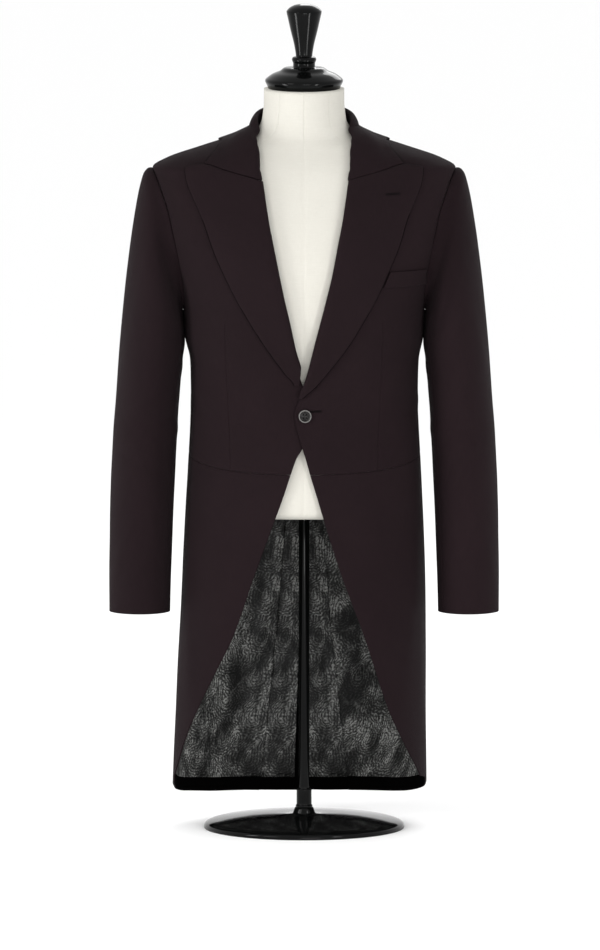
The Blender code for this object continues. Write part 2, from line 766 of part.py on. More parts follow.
def build_turned(name, profile, finish, steps):
    """Turned part on the Z axis, from the outer side of its profile."""
    mesh = bpy.data.meshes.new(name)
    points = [(radius * MM, 0, height * MM) for radius, height in profile]
    mesh.from_pydata(points, [(i, i + 1) for i in range(len(points) - 1)], [])
    item = add_object(name, mesh, finish)
    turning = item.modifiers.new("Turning", "SCREW")
    turning.steps = steps
    turning.render_steps = steps
    turning.use_merge_vertices = True
    turning.merge_threshold = 0.00001
    return item


def build_button(name, turn, z, lift):
    """Button lying on the cloth, its back to the body."""
    item = build_turned(name, BUTTON_PROFILE, "horn", 20)
    seat = skin(Spot(turn, z, lift + BUTTON_CLEAR))
    outward = (skin(Spot(turn, z, lift + 1)) - skin(Spot(turn, z, lift))).normalized()
    item.location = seat * MM
    item.rotation_mode = "QUATERNION"
    item.rotation_quaternion = outward.to_track_quat("Z", "Y")


def build_buttons():
    turn = turn_at("left", FRONT_BUTTON_X, FRONT_BUTTON_Z)
    build_button("front_button", turn, FRONT_BUTTON_Z, LAP_LIFT)
    for side, sign in SIGN.items():
        turn = sign * turn_at(side, WAIST_BUTTON_X - 12, WAIST_BUTTON_Z, back=True)
        build_button(f"waist_button_{side}", turn, WAIST_BUTTON_Z, LAP_LIFT)


def bust_clearance(turn, z):
    """Clearance between the bust and the coat: least on the shoulders, where the coat rests."""
    on_ridge = exp(-(((abs(turn) - 90) / 26) ** 2))
    on_slope = rising(985, 1006, z) * rising(1052, 1042, z)
    return between(BUST_CLEAR, BUST_REST_CLEAR, on_ridge * on_slope)


def build_bust():
    """Limbless bust: rings inside the coat, then the neck."""
    turns = [360 * i / BUST_COLUMNS - 180 for i in range(BUST_COLUMNS)]
    rings = [
        [skin(Spot(turn, row.z, -CLOTH - row.tuck - bust_clearance(turn, row.z))) for turn in turns]
        for row in BUST_ROWS
    ]
    for ring, row in zip(rings, BUST_ROWS):
        for point in ring:
            point.z = row.z if row.tuck else point.z
    for row in NECK_ROWS:
        rings.append([
            Vector((
                row.half * sin(radians(turn)),
                -(row.front if abs(turn) < 90 else row.back) * cos(radians(turn)),
                row.z,
            ))
            for turn in turns
        ])
    shell = bmesh.new()
    loops = [[shell.verts.new(point * MM) for point in ring] for ring in rings]
    for low, high in zip(loops, loops[1:]):
        for i in range(BUST_COLUMNS):
            j = (i + 1) % BUST_COLUMNS
            shell.faces.new((low[i], low[j], high[j], high[i]))
    shell.faces.new(loops[0][::-1])
    shell.faces.new(loops[-1])
    mesh = bpy.data.meshes.new("bust")
    shell.to_mesh(mesh)
    shell.free()
    mesh.shade_smooth()
    mesh.set_sharp_from_angle(angle=radians(50))
    add_object("bust", mesh, "linen")


def build_pole():
    """Pole between the foot and the bust."""
    foot_top = FOOT_PROFILE[0][1] + SEAM_GAP
    length = BUST_FOOT_Z - SEAM_GAP - foot_top
    tube = bmesh.new()
    bmesh.ops.create_cone(
        tube, cap_ends=True, segments=20, radius1=POLE_RADIUS * MM, radius2=POLE_RADIUS * MM, depth=length * MM
    )
    mesh = bpy.data.meshes.new("pole")
    tube.to_mesh(mesh)
    tube.free()
    mesh.shade_smooth()
    mesh.set_sharp_from_angle(angle=radians(50))
    add_object("pole", mesh, "lacquer").location.z = (foot_top + length / 2) * MM


def main():
    for item in list(bpy.data.objects):
        bpy.data.objects.remove(item, do_unlink=True)
    collection = bpy.data.collections.new("morning_coat")
    bpy.context.scene.collection.children.link(collection)
    for side in SIGN:
        build_forepart(side)
        build_side_body(side)
        build_back(side)
        build_skirt(side)
        build_lapel(side)
        build_sleeve(side)
    build_collar()
    build_welt()
    build_buttons()
    build_bust()
    build_turned("neck_cap", CAP_PROFILE, "lacquer", 24)
    build_turned("foot", FOOT_PROFILE, "lacquer", 32)
    build_pole()


main()
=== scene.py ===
"""Morning coat on a limbless bust: cloth, lining, buttons and stand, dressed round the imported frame.

Sizes in the tables and classes are in millimetres and degrees; meshes and the studio are in metres.
A turn goes round the body from the centre front, to the wearer's left.
"""

import logging
from collections.abc import Callable, Sequence
from dataclasses import dataclass
from enum import Enum
from typing import NamedTuple

import bpy
import numpy as np
from mathutils import Matrix, Vector

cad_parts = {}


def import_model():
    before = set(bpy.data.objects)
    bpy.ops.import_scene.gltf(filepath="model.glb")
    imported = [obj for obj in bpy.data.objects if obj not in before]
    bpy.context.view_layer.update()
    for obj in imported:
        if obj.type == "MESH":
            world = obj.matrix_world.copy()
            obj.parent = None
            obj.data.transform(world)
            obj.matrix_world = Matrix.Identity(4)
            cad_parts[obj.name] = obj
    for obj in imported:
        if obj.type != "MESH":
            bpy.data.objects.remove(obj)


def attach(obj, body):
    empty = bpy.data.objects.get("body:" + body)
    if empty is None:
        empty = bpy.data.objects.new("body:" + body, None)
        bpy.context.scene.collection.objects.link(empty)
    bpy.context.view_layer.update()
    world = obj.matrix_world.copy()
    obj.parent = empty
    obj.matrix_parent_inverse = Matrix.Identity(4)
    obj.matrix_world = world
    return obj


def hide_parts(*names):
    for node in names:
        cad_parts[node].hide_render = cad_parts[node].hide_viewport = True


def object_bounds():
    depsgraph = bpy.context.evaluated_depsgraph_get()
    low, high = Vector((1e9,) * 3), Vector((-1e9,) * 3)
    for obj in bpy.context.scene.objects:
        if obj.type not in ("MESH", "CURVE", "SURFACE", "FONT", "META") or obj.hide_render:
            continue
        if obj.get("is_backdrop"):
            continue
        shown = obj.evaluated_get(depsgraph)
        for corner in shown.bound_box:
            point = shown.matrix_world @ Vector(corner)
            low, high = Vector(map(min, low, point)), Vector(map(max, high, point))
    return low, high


LOG = logging.getLogger("morning_coat")

Array = np.ndarray
Level = Callable[[Array], Array]

MM = 0.001
BODY = "root"

CLOTH = 2.0
LINING_CLOTH = 1.0
COLLAR_CLOTH = 2.4
LAY_GAP = 0.35
LAP_LIFT = 3.2
LAPEL_LIFT = 1.9

SEAM_GAP = 0.12
WIDE_SEAM_GAP = 0.2
SETTLING_ROUNDS = 9
WAVE = 6.283


class Side(Enum):
    """A side of the wearer."""

    RIGHT = "right"
    LEFT = "left"

    @property
    def sign(self) -> int:
        """Sign of X on this side."""
        return -1 if self is Side.RIGHT else 1


def table(kind: type, *rows: tuple[float, ...]) -> tuple:
    """Table whose rows have the names of their kind."""
    return tuple(kind(*row) for row in rows)


class Section(NamedTuple):
    """Level section of the coat: half width to each side, depth to front and back."""

    z: float
    right: float
    left: float
    front: float
    back: float


COAT_SECTIONS = table(
    Section,
    (30, 198, 184, 134, 152), (190, 193, 183, 131, 148), (345, 184, 182, 127, 142),
    (455, 179, 179, 123, 134), (555, 173, 174, 118, 121), (615, 170, 171, 114, 108),
    (660, 169, 170, 113, 104), (705, 170, 171, 116, 106), (740, 177, 177, 120, 110),
    (782, 180, 180, 125, 115), (815, 187, 187, 127, 119), (864, 202, 202, 125, 122),
    (901, 213, 213, 119, 121), (935, 220, 220, 110, 117), (964, 225, 225, 100, 110),
    (994, 226, 226, 88, 99), (1007, 206, 206, 81, 92), (1024, 157, 157, 70, 82),
    (1041, 105, 105, 60, 71), (1053, 75, 75, 52, 65), (1068, 71, 71, 52, 63), (1090, 66, 66, 52, 61),
)


class Edge(NamedTuple):
    """Reach of the front edge from the centre plane, to each side."""

    z: float
    right: float
    left: float


FRONT_EDGE = table(
    Edge,
    (80, 195, 176), (95, 191, 170), (135, 180, 151), (189, 159, 127), (249, 131, 107), (299, 107, 91),
    (388, 76, 58), (449, 54, 38), (509, 32, 20), (545, 20, 9), (570, 11, 2), (583, 3, -2),
    (600, -3, -7), (620, -8, -12), (636, -10, -14), (648, -9, -11), (658, -5, -6), (672, 0, 0.5),
    (697, 8, 8.5), (721, 13.4, 14), (770, 23.4, 26.4), (842, 39.4, 44.4), (913, 53.4, 58.4),
    (983, 67, 69.6), (1010, 74.5, 75), (1030, 79, 79), (1049, 81, 81),
)


class LapelRow(NamedTuple):
    """Reach of the lapel's roll line and outer edge, to each side."""

    z: float
    right_roll: float
    right_edge: float
    left_roll: float
    left_edge: float


LAPELS = table(
    LapelRow,
    (658, 11, 16, -8.5, -3.5), (678, 8, 15.5, -1.5, 18), (699, 4.8, 31, 5, 36), (737, 13, 58, 14.5, 66),
    (775, 21, 82, 24.5, 89), (808, 28.7, 101, 33, 107.6), (848, 37, 121, 42.5, 125.5),
    (893, 46, 141, 51, 145), (918, 51, 149.7, 56, 152.4), (955, 57, 161.7, 62, 163.8),
    (985, 61.5, 171, 66.5, 172), (1000, 64, 176.5, 69, 176.5),
)


class LapelColumn(NamedTuple):
    """Place across a lapel: share of its width, inset at the foot and where it is turned, lift."""

    place: float
    share: float
    foot: float
    turned: float
    lift: float


LAPEL_COLUMNS = table(
    LapelColumn,
    (0, 0.0, 0.0, 2.7, -1.2), (1, 0.0, 0.5, 2.0, 1.2), (2, 0.0, 1.0, 3.4, 3.2),
    (3, 0.12, 1.0, 1.0, 3.9), (4, 0.30, 1.0, 1.0, 3.2), (5, 0.50, 0.8, 0.8, 2.5),
    (6, 0.70, 0.5, 0.5, 2.1), (7, 0.86, 0.3, 0.3, 2.1), (8, 1.0, 0.0, 0.0, 1.8),
)


class Gorge(NamedTuple):
    """Height of the gorge seam and of the peak's top edge, by reach."""

    x: float
    z: float


GORGE = table(
    Gorge,
    (55, 980), (62, 981.5), (90, 989), (119, 996.7), (148, 1003.5), (162, 1002), (177, 999),
)


class Station(NamedTuple):
    """Collar from gorge to centre back: turn and height of its neck seam, roll and edge."""

    step: float
    neck_turn: float
    neck_z: float
    roll_turn: float
    roll_z: float
    edge_turn: float
    edge_z: float
    bulge: float


COLLAR_STATIONS = table(
    Station,
    (0, 14.6, 991, 14.1, 994, 43.0, 1008, 0.8), (1, 16.7, 1004, 16.4, 1008, 46.0, 1014, 1.2),
    (2, 22.3, 1018, 22.2, 1023, 51.5, 1021, 1.6), (3, 33.2, 1032, 35.0, 1037, 59.0, 1027, 2.2),
    (4, 58.0, 1045.5, 62.0, 1052, 71.0, 1032, 3.0), (5, 85.0, 1050.5, 84.0, 1066, 84.0, 1035, 3.5),
    (6, 108.0, 1048, 104.0, 1073, 106.0, 1032, 3.5), (7, 132.0, 1045, 128.0, 1077, 130.0, 1026, 3.0),
    (8, 156.0, 1042, 153.0, 1079, 154.0, 1022, 2.4), (9, 180.0, 1040.5, 180.0, 1080, 180.0, 1020, 2.0),
)


class CollarRow(NamedTuple):
    """Place across the collar: part of the way up its stand, then down its fall, and lift."""

    place: float
    stand: float
    fall: float
    lift: float


COLLAR_ROWS = table(
    CollarRow,
    (0, 0.0, 0.0, 0.0), (1, 0.5, 0.0, 0.0), (2, 0.94, 0.0, 0.1), (3, 1.0, 0.0, 0.9),
    (4, 1.0, 0.05, 2.2), (5, 1.0, 0.22, 2.6), (6, 1.0, 0.45, 2.3), (7, 1.0, 0.72, 1.2),
    (8, 1.0, 1.0, 0.7),
)


class GorgeSpot(NamedTuple):
    """The collar's end along the gorge seam: reach and lift at a place across the collar."""

    place: float
    x: float
    lift: float


COLLAR_END = table(
    GorgeSpot,
    (0, 66.5, 0.0), (1, 65.5, 0.0), (2, 64.6, 0.1), (3, 64.2, 0.9), (4, 66, 2.2), (5, 84, 3.4),
    (6, 104, 3.0), (7, 127, 2.0), (8, 147.5, 1.1),
)


class Ring(NamedTuple):
    """Sleeve ring: highest outer point, lowest inner point, reach to front and back."""

    outer_x: float
    outer_z: float
    inner_x: float
    inner_z: float
    front: float
    back: float


SLEEVE_RINGS = table(
    Ring,
    (237, 988, 181.2, 762, 60, 62), (244, 966, 180.6, 756, 66, 68), (250.5, 933, 180, 750, 72, 73),
    (257.5, 890, 179.4, 745, 76, 76), (264.5, 838, 178.7, 740, 77, 77),
    (270.5, 780, 178.2, 731, 77, 76), (275.5, 722, 181.8, 704, 76, 74), (280, 660, 185.5, 655, 74, 71),
    (285.5, 590, 190, 590, 72, 64), (288.8, 520, 193, 520, 74, 52), (290.4, 450, 196.2, 450, 77, 38),
    (291, 385, 198.6, 385, 79, 24), (291, 330.5, 200, 330.5, 80, 12),
)


class Pleat(NamedTuple):
    """Reach of a line of the back from the centre, by height."""

    z: float
    x: float


TAIL_EDGE = (Pleat(35, 86), Pleat(355, 54), Pleat(500, 44), Pleat(587, 42))
VENT_BAND = (Pleat(35, 16), Pleat(355, 6), Pleat(560, 4))


class Flute(NamedTuple):
    """Soft flute of the skirt, deepest at the hem."""

    turn: float
    spread: float
    depth: float


FLUTES = table(
    Flute,
    (-158, 7, 3.0), (-136, 9, -5.0), (-112, 9, 4.0), (112, 10, 5.0), (134, 9, -4.5), (160, 8, 2.5),
)


class Crease(NamedTuple):
    """Soft trough or ridge of the cloth: its middle, lean from upright, half length, half width, depth."""

    turn: float
    z: float
    lean: float
    length: float
    width: float
    depth: float


BODY_CREASES = table(
    Crease,
    (90, 762, 0, 42, 22, 1.6), (-90, 762, 0, 42, 22, 1.6), (16, 652, -62, 26, 5, 0.8),
    (22, 622, 78, 34, 6, -0.9), (24, 600, 62, 40, 8, 0.7), (-18, 640, 66, 30, 6, 0.8),
    (-25, 617, -80, 38, 7, -0.8), (-22, 592, -60, 44, 8, 0.7), (62, 655, 74, 42, 9, 1.0),
    (70, 628, 84, 36, 8, -1.1), (-64, 662, -76, 46, 9, 1.0), (-72, 634, -86, 38, 8, -1.1),
    (104, 650, 80, 40, 9, 1.1), (112, 620, 96, 44, 10, -1.0), (-106, 644, -82, 44, 9, 1.1),
    (-114, 618, -95, 38, 9, -1.0), (150, 640, 86, 50, 10, -0.9), (-152, 632, -88, 46, 9, -0.9),
    (58, 820, 24, 52, 9, 0.9), (-60, 812, -26, 48, 9, 0.9), (50, 780, 38, 40, 8, -0.7),
    (-52, 786, -34, 44, 8, -0.7), (130, 850, -22, 60, 10, 1.0), (-132, 842, 24, 56, 10, 1.0),
    (146, 900, -14, 52, 9, -0.7), (-144, 894, 12, 50, 9, -0.7), (168, 780, 8, 70, 10, 0.7),
    (-166, 770, -6, 64, 10, 0.7), (60, 330, 8, 120, 16, 1.6), (84, 250, -6, 140, 17, -1.5),
    (104, 400, 5, 90, 14, 1.3), (-66, 300, -8, 130, 16, 1.6), (-88, 230, 7, 130, 16, -1.6),
    (-108, 380, -4, 90, 14, 1.2), (170, 240, 3, 120, 9, 0.9), (-168, 280, -3, 120, 9, 0.9),
    (124, 470, 30, 46, 10, 0.9), (-126, 476, -28, 46, 10, 0.9), (46, 480, 58, 52, 9, 0.7),
    (-48, 486, -55, 52, 9, 0.7),
)

# On a sleeve the turn goes round it from its outer top to the front
SLEEVE_CREASES = table(
    Crease,
    (80, 640, 58, 44, 10, 1.7), (96, 612, 74, 48, 9, -2.0), (104, 584, 92, 46, 10, 1.8),
    (84, 556, 110, 42, 9, -1.5), (120, 668, 48, 38, 9, -1.3), (150, 600, 88, 42, 10, 1.5),
    (262, 620, -70, 34, 12, 0.9), (292, 574, -58, 44, 12, 1.2), (60, 440, 24, 70, 10, 0.9),
    (100, 410, 96, 34, 8, -0.9), (330, 480, -12, 80, 13, 1.0), (350, 700, 10, 90, 14, 1.0),
    (30, 760, 16, 90, 13, -1.0), (64, 860, 12, 60, 9, 0.8), (300, 840, -14, 66, 11, 0.9),
    (200, 700, 70, 44, 10, 1.2),
)


class Sweep(NamedTuple):
    """How a skirt's hem rises into its front edge: rise, from one turn back to another."""

    rise: float
    start: float
    end: float


SWEEPS = {Side.RIGHT: Sweep(16, 81, 118), Side.LEFT: Sweep(26, 72, 128)}


class SeatRow(NamedTuple):
    """Height of a ring of the bust below the neck, and how far it is tucked in."""

    z: float
    tuck: float


BUST_ROWS = (
    SeatRow(476, 13),
    SeatRow(479, 7),
    SeatRow(486, 2),
    *(SeatRow(z, 0) for z in (500, 545, 590, 630, 665, 705, 745, 785, 825, 865, 905)),
    *(SeatRow(z, 0) for z in (940, 970, 990, 1004, 1015, 1025, 1034)),
)


class NeckRow(NamedTuple):
    """Ring of the bust's neck: half width, reach to front and back."""

    z: float
    half: float
    front: float
    back: float


NECK_ROWS = table(
    NeckRow,
    (1041, 87, 52, 60), (1047, 76, 51, 58), (1055, 68, 51, 56), (1064, 63.5, 52, 55),
    (1075, 61.5, 53, 55), (1093, 60, 56, 57), (1112, 60, 59, 59),
)


class Turning(NamedTuple):
    """Radius and height of a turned profile."""

    radius: float
    z: float


# From the middle of the top to the middle of the underside
CAP_PROFILE = table(
    Turning,
    (0, 1239), (12, 1237.6), (20.5, 1234), (25.6, 1229), (26.4, 1227.4), (26.2, 1225.6), (24.5, 1218),
    (20, 1198), (14.6, 1176), (12.3, 1160.5), (16.6, 1159), (18.3, 1155.5), (16.4, 1149), (16.6, 1144.5),
    (29, 1143.3), (36, 1138.5), (46, 1134.5), (54, 1129.2), (58, 1125.2), (58.3, 1123.6), (56.6, 1119),
    (54.4, 1114.5), (54, 1112.4), (0, 1112.4),
)
FOOT_PROFILE = table(
    Turning,
    (0, 30), (13, 30), (15, 27), (18, 20.5), (80, 17), (132, 11.5), (146, 8), (150, 3.5), (150, 0), (0, 0),
)
POLE_PROFILE = table(
    Turning,
    (0, 475.7), (7.6, 475.7), (8, 475.2), (8, 60), (8.3, 58.5), (11, 57.8), (11.3, 57), (11.3, 35),
    (11.6, 34), (12.6, 33), (12.6, 30.4), (0, 30.4),
)
BUTTON_PROFILE = table(
    Turning,
    (0.0, 2.25), (1.0, 2.25), (3.3, 2.3), (5.4, 2.4), (6.4, 2.7), (7.2, 3.3), (8.0, 3.66), (8.7, 3.62),
    (9.4, 3.25), (9.85, 2.7), (10.0, 2.2), (9.8, 1.2), (8.8, 0.45), (7.5, 0.1), (5.0, 0.0), (0.0, 0.0),
)


class Curve:
    """Smooth curve through a table's values that never passes beyond them."""

    def __init__(self, at: Sequence[float], values: Sequence) -> None:
        """Keeps the values and works out the slopes.

        Args:
            at: Rising places of the values.
            values: One number or array for each place.
        """
        self.at = np.asarray(at, float)
        self.values = np.asarray(values, float)
        self.tail = (1,) * (self.values.ndim - 1)
        steps = np.diff(self.values, axis=0) / np.diff(self.at).reshape(-1, *self.tail)
        low, high = steps[:-1], steps[1:]
        product, total = low * high, low + high
        rising = product > 0
        inner = np.where(rising, 2 * product / np.where(rising, total, 1.0), 0.0)
        self.slopes = np.concatenate([steps[:1], inner, steps[-1:]])

    @classmethod
    def of(cls, table: Sequence[NamedTuple], column: str, key: str = "z") -> "Curve":
        """Curve through one named column of a table, by another."""
        return cls([getattr(row, key) for row in table], [getattr(row, column) for row in table])

    def __call__(self, at: Array | float) -> Array:
        """Value at a place, or at each place of an array."""
        at = np.clip(np.asarray(at, float), self.at[0], self.at[-1])
        i = np.clip(np.searchsorted(self.at, at, side="right") - 1, 0, len(self.at) - 2)
        span = (self.at[i + 1] - self.at[i]).reshape(at.shape + self.tail)
        t = (at - self.at[i]).reshape(at.shape + self.tail) / span
        start, end = self.values[i], self.values[i + 1]
        bend = (1 - t) * self.slopes[i] - t * self.slopes[i + 1]
        return start + (end - start) * t * t * (3 - 2 * t) + span * t * (1 - t) * bend


def columns_at(table: Sequence[NamedTuple], at: Array) -> dict[str, Array]:
    """Value of each column of a table at places of its first one."""
    key, *names = table[0]._fields
    return {name: Curve.of(table, name, key)(at) for name in names}


def between(start: Array | float, end: Array | float, share: Array | float) -> Array:
    """Point at a share of the way from start to end."""
    return start + (end - start) * share


def rising(low: float, high: float, value: Array | float) -> Array:
    """Soft step from 0 at low to 1 at high; low may be the greater."""
    t = np.clip((value - low) / (high - low), 0.0, 1.0)
    return t * t * (3 - 2 * t)


def eased(count: int, pull: float = 0.86) -> Array:
    """Shares from 0 to 1 that lie closer together towards both ends."""
    t = np.linspace(0, 1, count)
    return t - pull * np.sin(2 * np.pi * t) / (2 * np.pi)


def bell(value: Array, width: Array | float) -> Array:
    """1 where the value is 0, fading on both sides over a width."""
    return np.exp(-((value / width) ** 2))


def refined(points: Array, steps: Array, each: int = 4) -> Array:
    """Points on a smooth curve through a run of points.

    Args:
        points: The run.
        steps: Length of the step from each point to the next.
        each: How many points each step gets.

    Returns:
        The points of the curve.
    """
    way = np.concatenate([[0], np.cumsum(steps)])
    fine = np.interp(np.arange((len(way) - 1) * each + 1) / each, np.arange(len(way)), way)
    return Curve(way, points)(fine)


def unit(vectors: Array) -> Array:
    """The vectors at length 1."""
    return vectors / np.maximum(np.linalg.norm(vectors, axis=-1, keepdims=True), 1e-9)


def creased(creases: Sequence[Crease], turn: Array, z: Array, arc: float) -> Array:
    """Height of a set of creases.

    Args:
        creases: The creases.
        turn: Turns of the points.
        z: Heights of the points.
        arc: Length of one degree of turn.

    Returns:
        How far each point is pushed out.
    """
    height = np.zeros(np.broadcast(turn, z).shape)
    for row in creases:
        lean = np.radians(row.lean)
        aside, up = (turn - row.turn) * arc, z - row.z
        along = aside * np.sin(lean) + up * np.cos(lean)
        across = aside * np.cos(lean) - up * np.sin(lean)
        height += row.depth * np.exp(-((across / row.width) ** 2) - (along / row.length) ** 2)
    return height


@dataclass(frozen=True)
class CoatForm:
    """The coat's outer face, and the lines that seams and edges follow on it."""

    squareness: float = 2.3
    waist_z_front: float = 545.0
    waist_rise: float = 42.0
    hem_z_back: float = 35.0
    hem_rise: float = 34.0
    shoulder_z: float = 994.0
    neck_point_z: float = 1049.0
    neck_back_z: float = 1039.0
    armhole_z: float = 887.0
    armhole_half: float = 107.0
    armhole_front: float = 56.0
    armhole_back: float = 58.0
    side_seam_turn: float = 145.0
    back_seam_turn: float = 250.0
    flute_top_z: float = 440.0
    arc: float = 2.45

    def body(self, turn: Array, z: Array) -> Array:
        """Points of the outer face before flutes and creases."""
        across, along = np.sin(np.radians(turn)), np.cos(np.radians(turn))
        half = np.where(across >= 0, WIDTH[Side.LEFT](z), WIDTH[Side.RIGHT](z))
        deep = np.where(along >= 0, DEPTH["front"](z), DEPTH["back"](z))
        power = 2 / self.squareness
        x = half * np.sign(across) * np.abs(across) ** power
        y = -deep * np.sign(along) * np.abs(along) ** power
        return np.stack(np.broadcast_arrays(x, y, z), axis=-1)

    def relief(self, turn: Array, z: Array) -> Array:
        """How far flutes, creases and the cloth's slight unevenness push the face out."""
        fall = rising(self.flute_top_z, self.hem_z_back, z)
        flutes = sum(row.depth * bell(turn - row.turn, row.spread) for row in FLUTES)
        uneven = 0.16 * np.sin(0.19 * turn + 0.013 * z) * np.sin(0.031 * z + 0.05 * turn + 1.3)
        return fall * flutes + creased(BODY_CREASES, turn, z, self.arc) + uneven

    def skin(self, turn: Array, z: Array, lift: Array | float, eased_in: bool = True) -> Array:
        """Points above the outer face, along its outward normals.

        Args:
            turn: Signed turns.
            z: Heights.
            lift: Distances above the face.
            eased_in: Whether flutes and creases count.

        Returns:
            The points, in millimetres.
        """
        across = self.body(turn + 0.5, z) - self.body(turn - 0.5, z)
        up = self.body(turn, z + 1) - self.body(turn, z - 1)
        outward = unit(np.cross(across, up))
        height = lift + (self.relief(turn, z) if eased_in else 0.0)
        return self.body(turn, z) + outward * np.asarray(height)[..., None]

    def turn_at(self, side: Side, x: Array | float, z: Array | float, back: bool = False) -> Array:
        """Turn, to that side, of a point at reach x from the centre plane."""
        share = np.minimum(np.abs(x) / WIDTH[side](z), 1.0)
        turn = np.degrees(np.arcsin(np.sign(x) * share ** (self.squareness / 2)))
        return 180.0 - turn if back else turn

    def turn_at_depth(self, y: Array | float, z: Array | float) -> Array:
        """Turn of a point of the body's side at depth y."""
        deep = np.where(np.asarray(y) < 0, DEPTH["front"](z), DEPTH["back"](z))
        share = np.minimum(np.abs(y) / deep, 1.0) ** (self.squareness / 2)
        return np.degrees(np.arccos(np.sign(-np.asarray(y, float)) * share))

    def waist_z(self, turn: Array | float) -> Array:
        """Height of the waist seam."""
        return self.waist_z_front + self.waist_rise * (1 - np.cos(np.radians(turn))) / 2

    def hem_z(self, turn: Array | float) -> Array:
        """Height of the hem."""
        return self.hem_z_back + self.hem_rise * (1 + np.cos(np.radians(turn))) / 2

    def skirt_hem_z(self, side: Side, turn: Array) -> Array:
        """Height of a skirt's hem, which sweeps up towards the front edge."""
        row = SWEEPS[side]
        return self.hem_z(turn) + row.rise * rising(row.end, row.start, turn)

    def armhole(self, around: Array | float) -> tuple[Array, Array]:
        """Depth and height of the armhole's edge, by an angle from the shoulder to the front."""
        out = np.sin(np.radians(around))
        reach = np.where(out > 0, self.armhole_front, self.armhole_back)
        return -reach * out, self.armhole_z + self.armhole_half * np.cos(np.radians(around))

    def armhole_turn(self, z: Array | float, reach: float) -> Array:
        """Turn of the armhole's front or back edge; of the shoulder seam above it."""
        level = np.clip((z - self.armhole_z) / self.armhole_half, -1.0, 1.0)
        return self.turn_at_depth(reach * np.sqrt(1 - level * level), z)

    @property
    def side_seam_top(self) -> float:
        """Height where the side seam meets the armhole."""
        return float(self.armhole(self.side_seam_turn)[1])

    @property
    def back_seam_top(self) -> float:
        """Height where the back seam meets the armhole."""
        return float(self.armhole(self.back_seam_turn)[1])

    @property
    def back_seam_foot(self) -> float:
        """Height where the back seam meets the waist."""
        return float(self.waist_z(168.6))

    def side_seam(self, z: Array | float) -> Array:
        """Turn of the seam between forepart and side body."""
        top = self.armhole_turn(self.side_seam_top, -self.armhole_front)
        return between(top + 3, top, rising(self.waist_z_front, self.side_seam_top, z))

    def back_seam(self, side: Side, z: Array | float) -> Array:
        """Turn of the curved seam between side body and back."""
        top_z, foot_z = self.back_seam_top, self.back_seam_foot
        top = self.armhole_turn(top_z, self.armhole_back)
        foot = self.turn_at(side, TAIL_X(foot_z), foot_z, back=True)
        share = np.clip((top_z - z) / (top_z - foot_z), 0.0, 1.0)
        return between(top, foot, np.sin(share * np.pi / 2) ** 0.8)

    def edge(self, side: Side, z: Array | float) -> Array:
        """Turn of the front edge."""
        return self.turn_at(side, EDGE[side](z), z)

    def front_lap(self, turn: Array, z: Array) -> Array:
        """Lift of the wearer's left front over the right one."""
        x = self.body(turn, z)[..., 0]
        return LAP_LIFT * rising(64, 16, x) * rising(556, 584, z) * rising(790, 705, z)


WIDTH = {side: Curve.of(COAT_SECTIONS, side.value) for side in Side}
DEPTH = {way: Curve.of(COAT_SECTIONS, way) for way in ("front", "back")}
EDGE = {side: Curve.of(FRONT_EDGE, side.value) for side in Side}
LAPEL = {name: Curve.of(LAPELS, name) for name in LapelRow._fields[1:]}
GORGE_Z = Curve.of(GORGE, "z", "x")
TAIL_X = Curve.of(TAIL_EDGE, "x")
BAND_X = Curve.of(VENT_BAND, "x")


@dataclass
class Grid:
    """Spots of a panel: turn to its side, height and lift, in rows from its foot up."""

    turn: Array
    z: Array
    lift: Array

    @classmethod
    def settled(cls, level: Level, mark: Level, rows: int, columns: int) -> "Grid":
        """Grid where courses whose height depends on turn meet marks whose turn depends on height.

        Args:
            level: Heights of all spots from their turns.
            mark: Turns of all spots from their heights.
            rows: Number of rows.
            columns: Number of columns.

        Returns:
            The grid, lying on the coat's outer face.
        """
        turn = np.full((rows, columns), 90.0)
        for _ in range(SETTLING_ROUNDS):
            turn = mark(level(turn))
        z = np.broadcast_to(level(turn), turn.shape)
        return cls(turn, z, np.zeros(turn.shape))

    def part(self, rows: slice, columns: slice) -> "Grid":
        """Part of the grid."""
        return Grid(self.turn[rows, columns], self.z[rows, columns], self.lift[rows, columns])


class Seamed(NamedTuple):
    """Which borders of a panel are sewn to a neighbour."""

    foot: bool = False
    end: bool = False
    top: bool = False
    start: bool = False


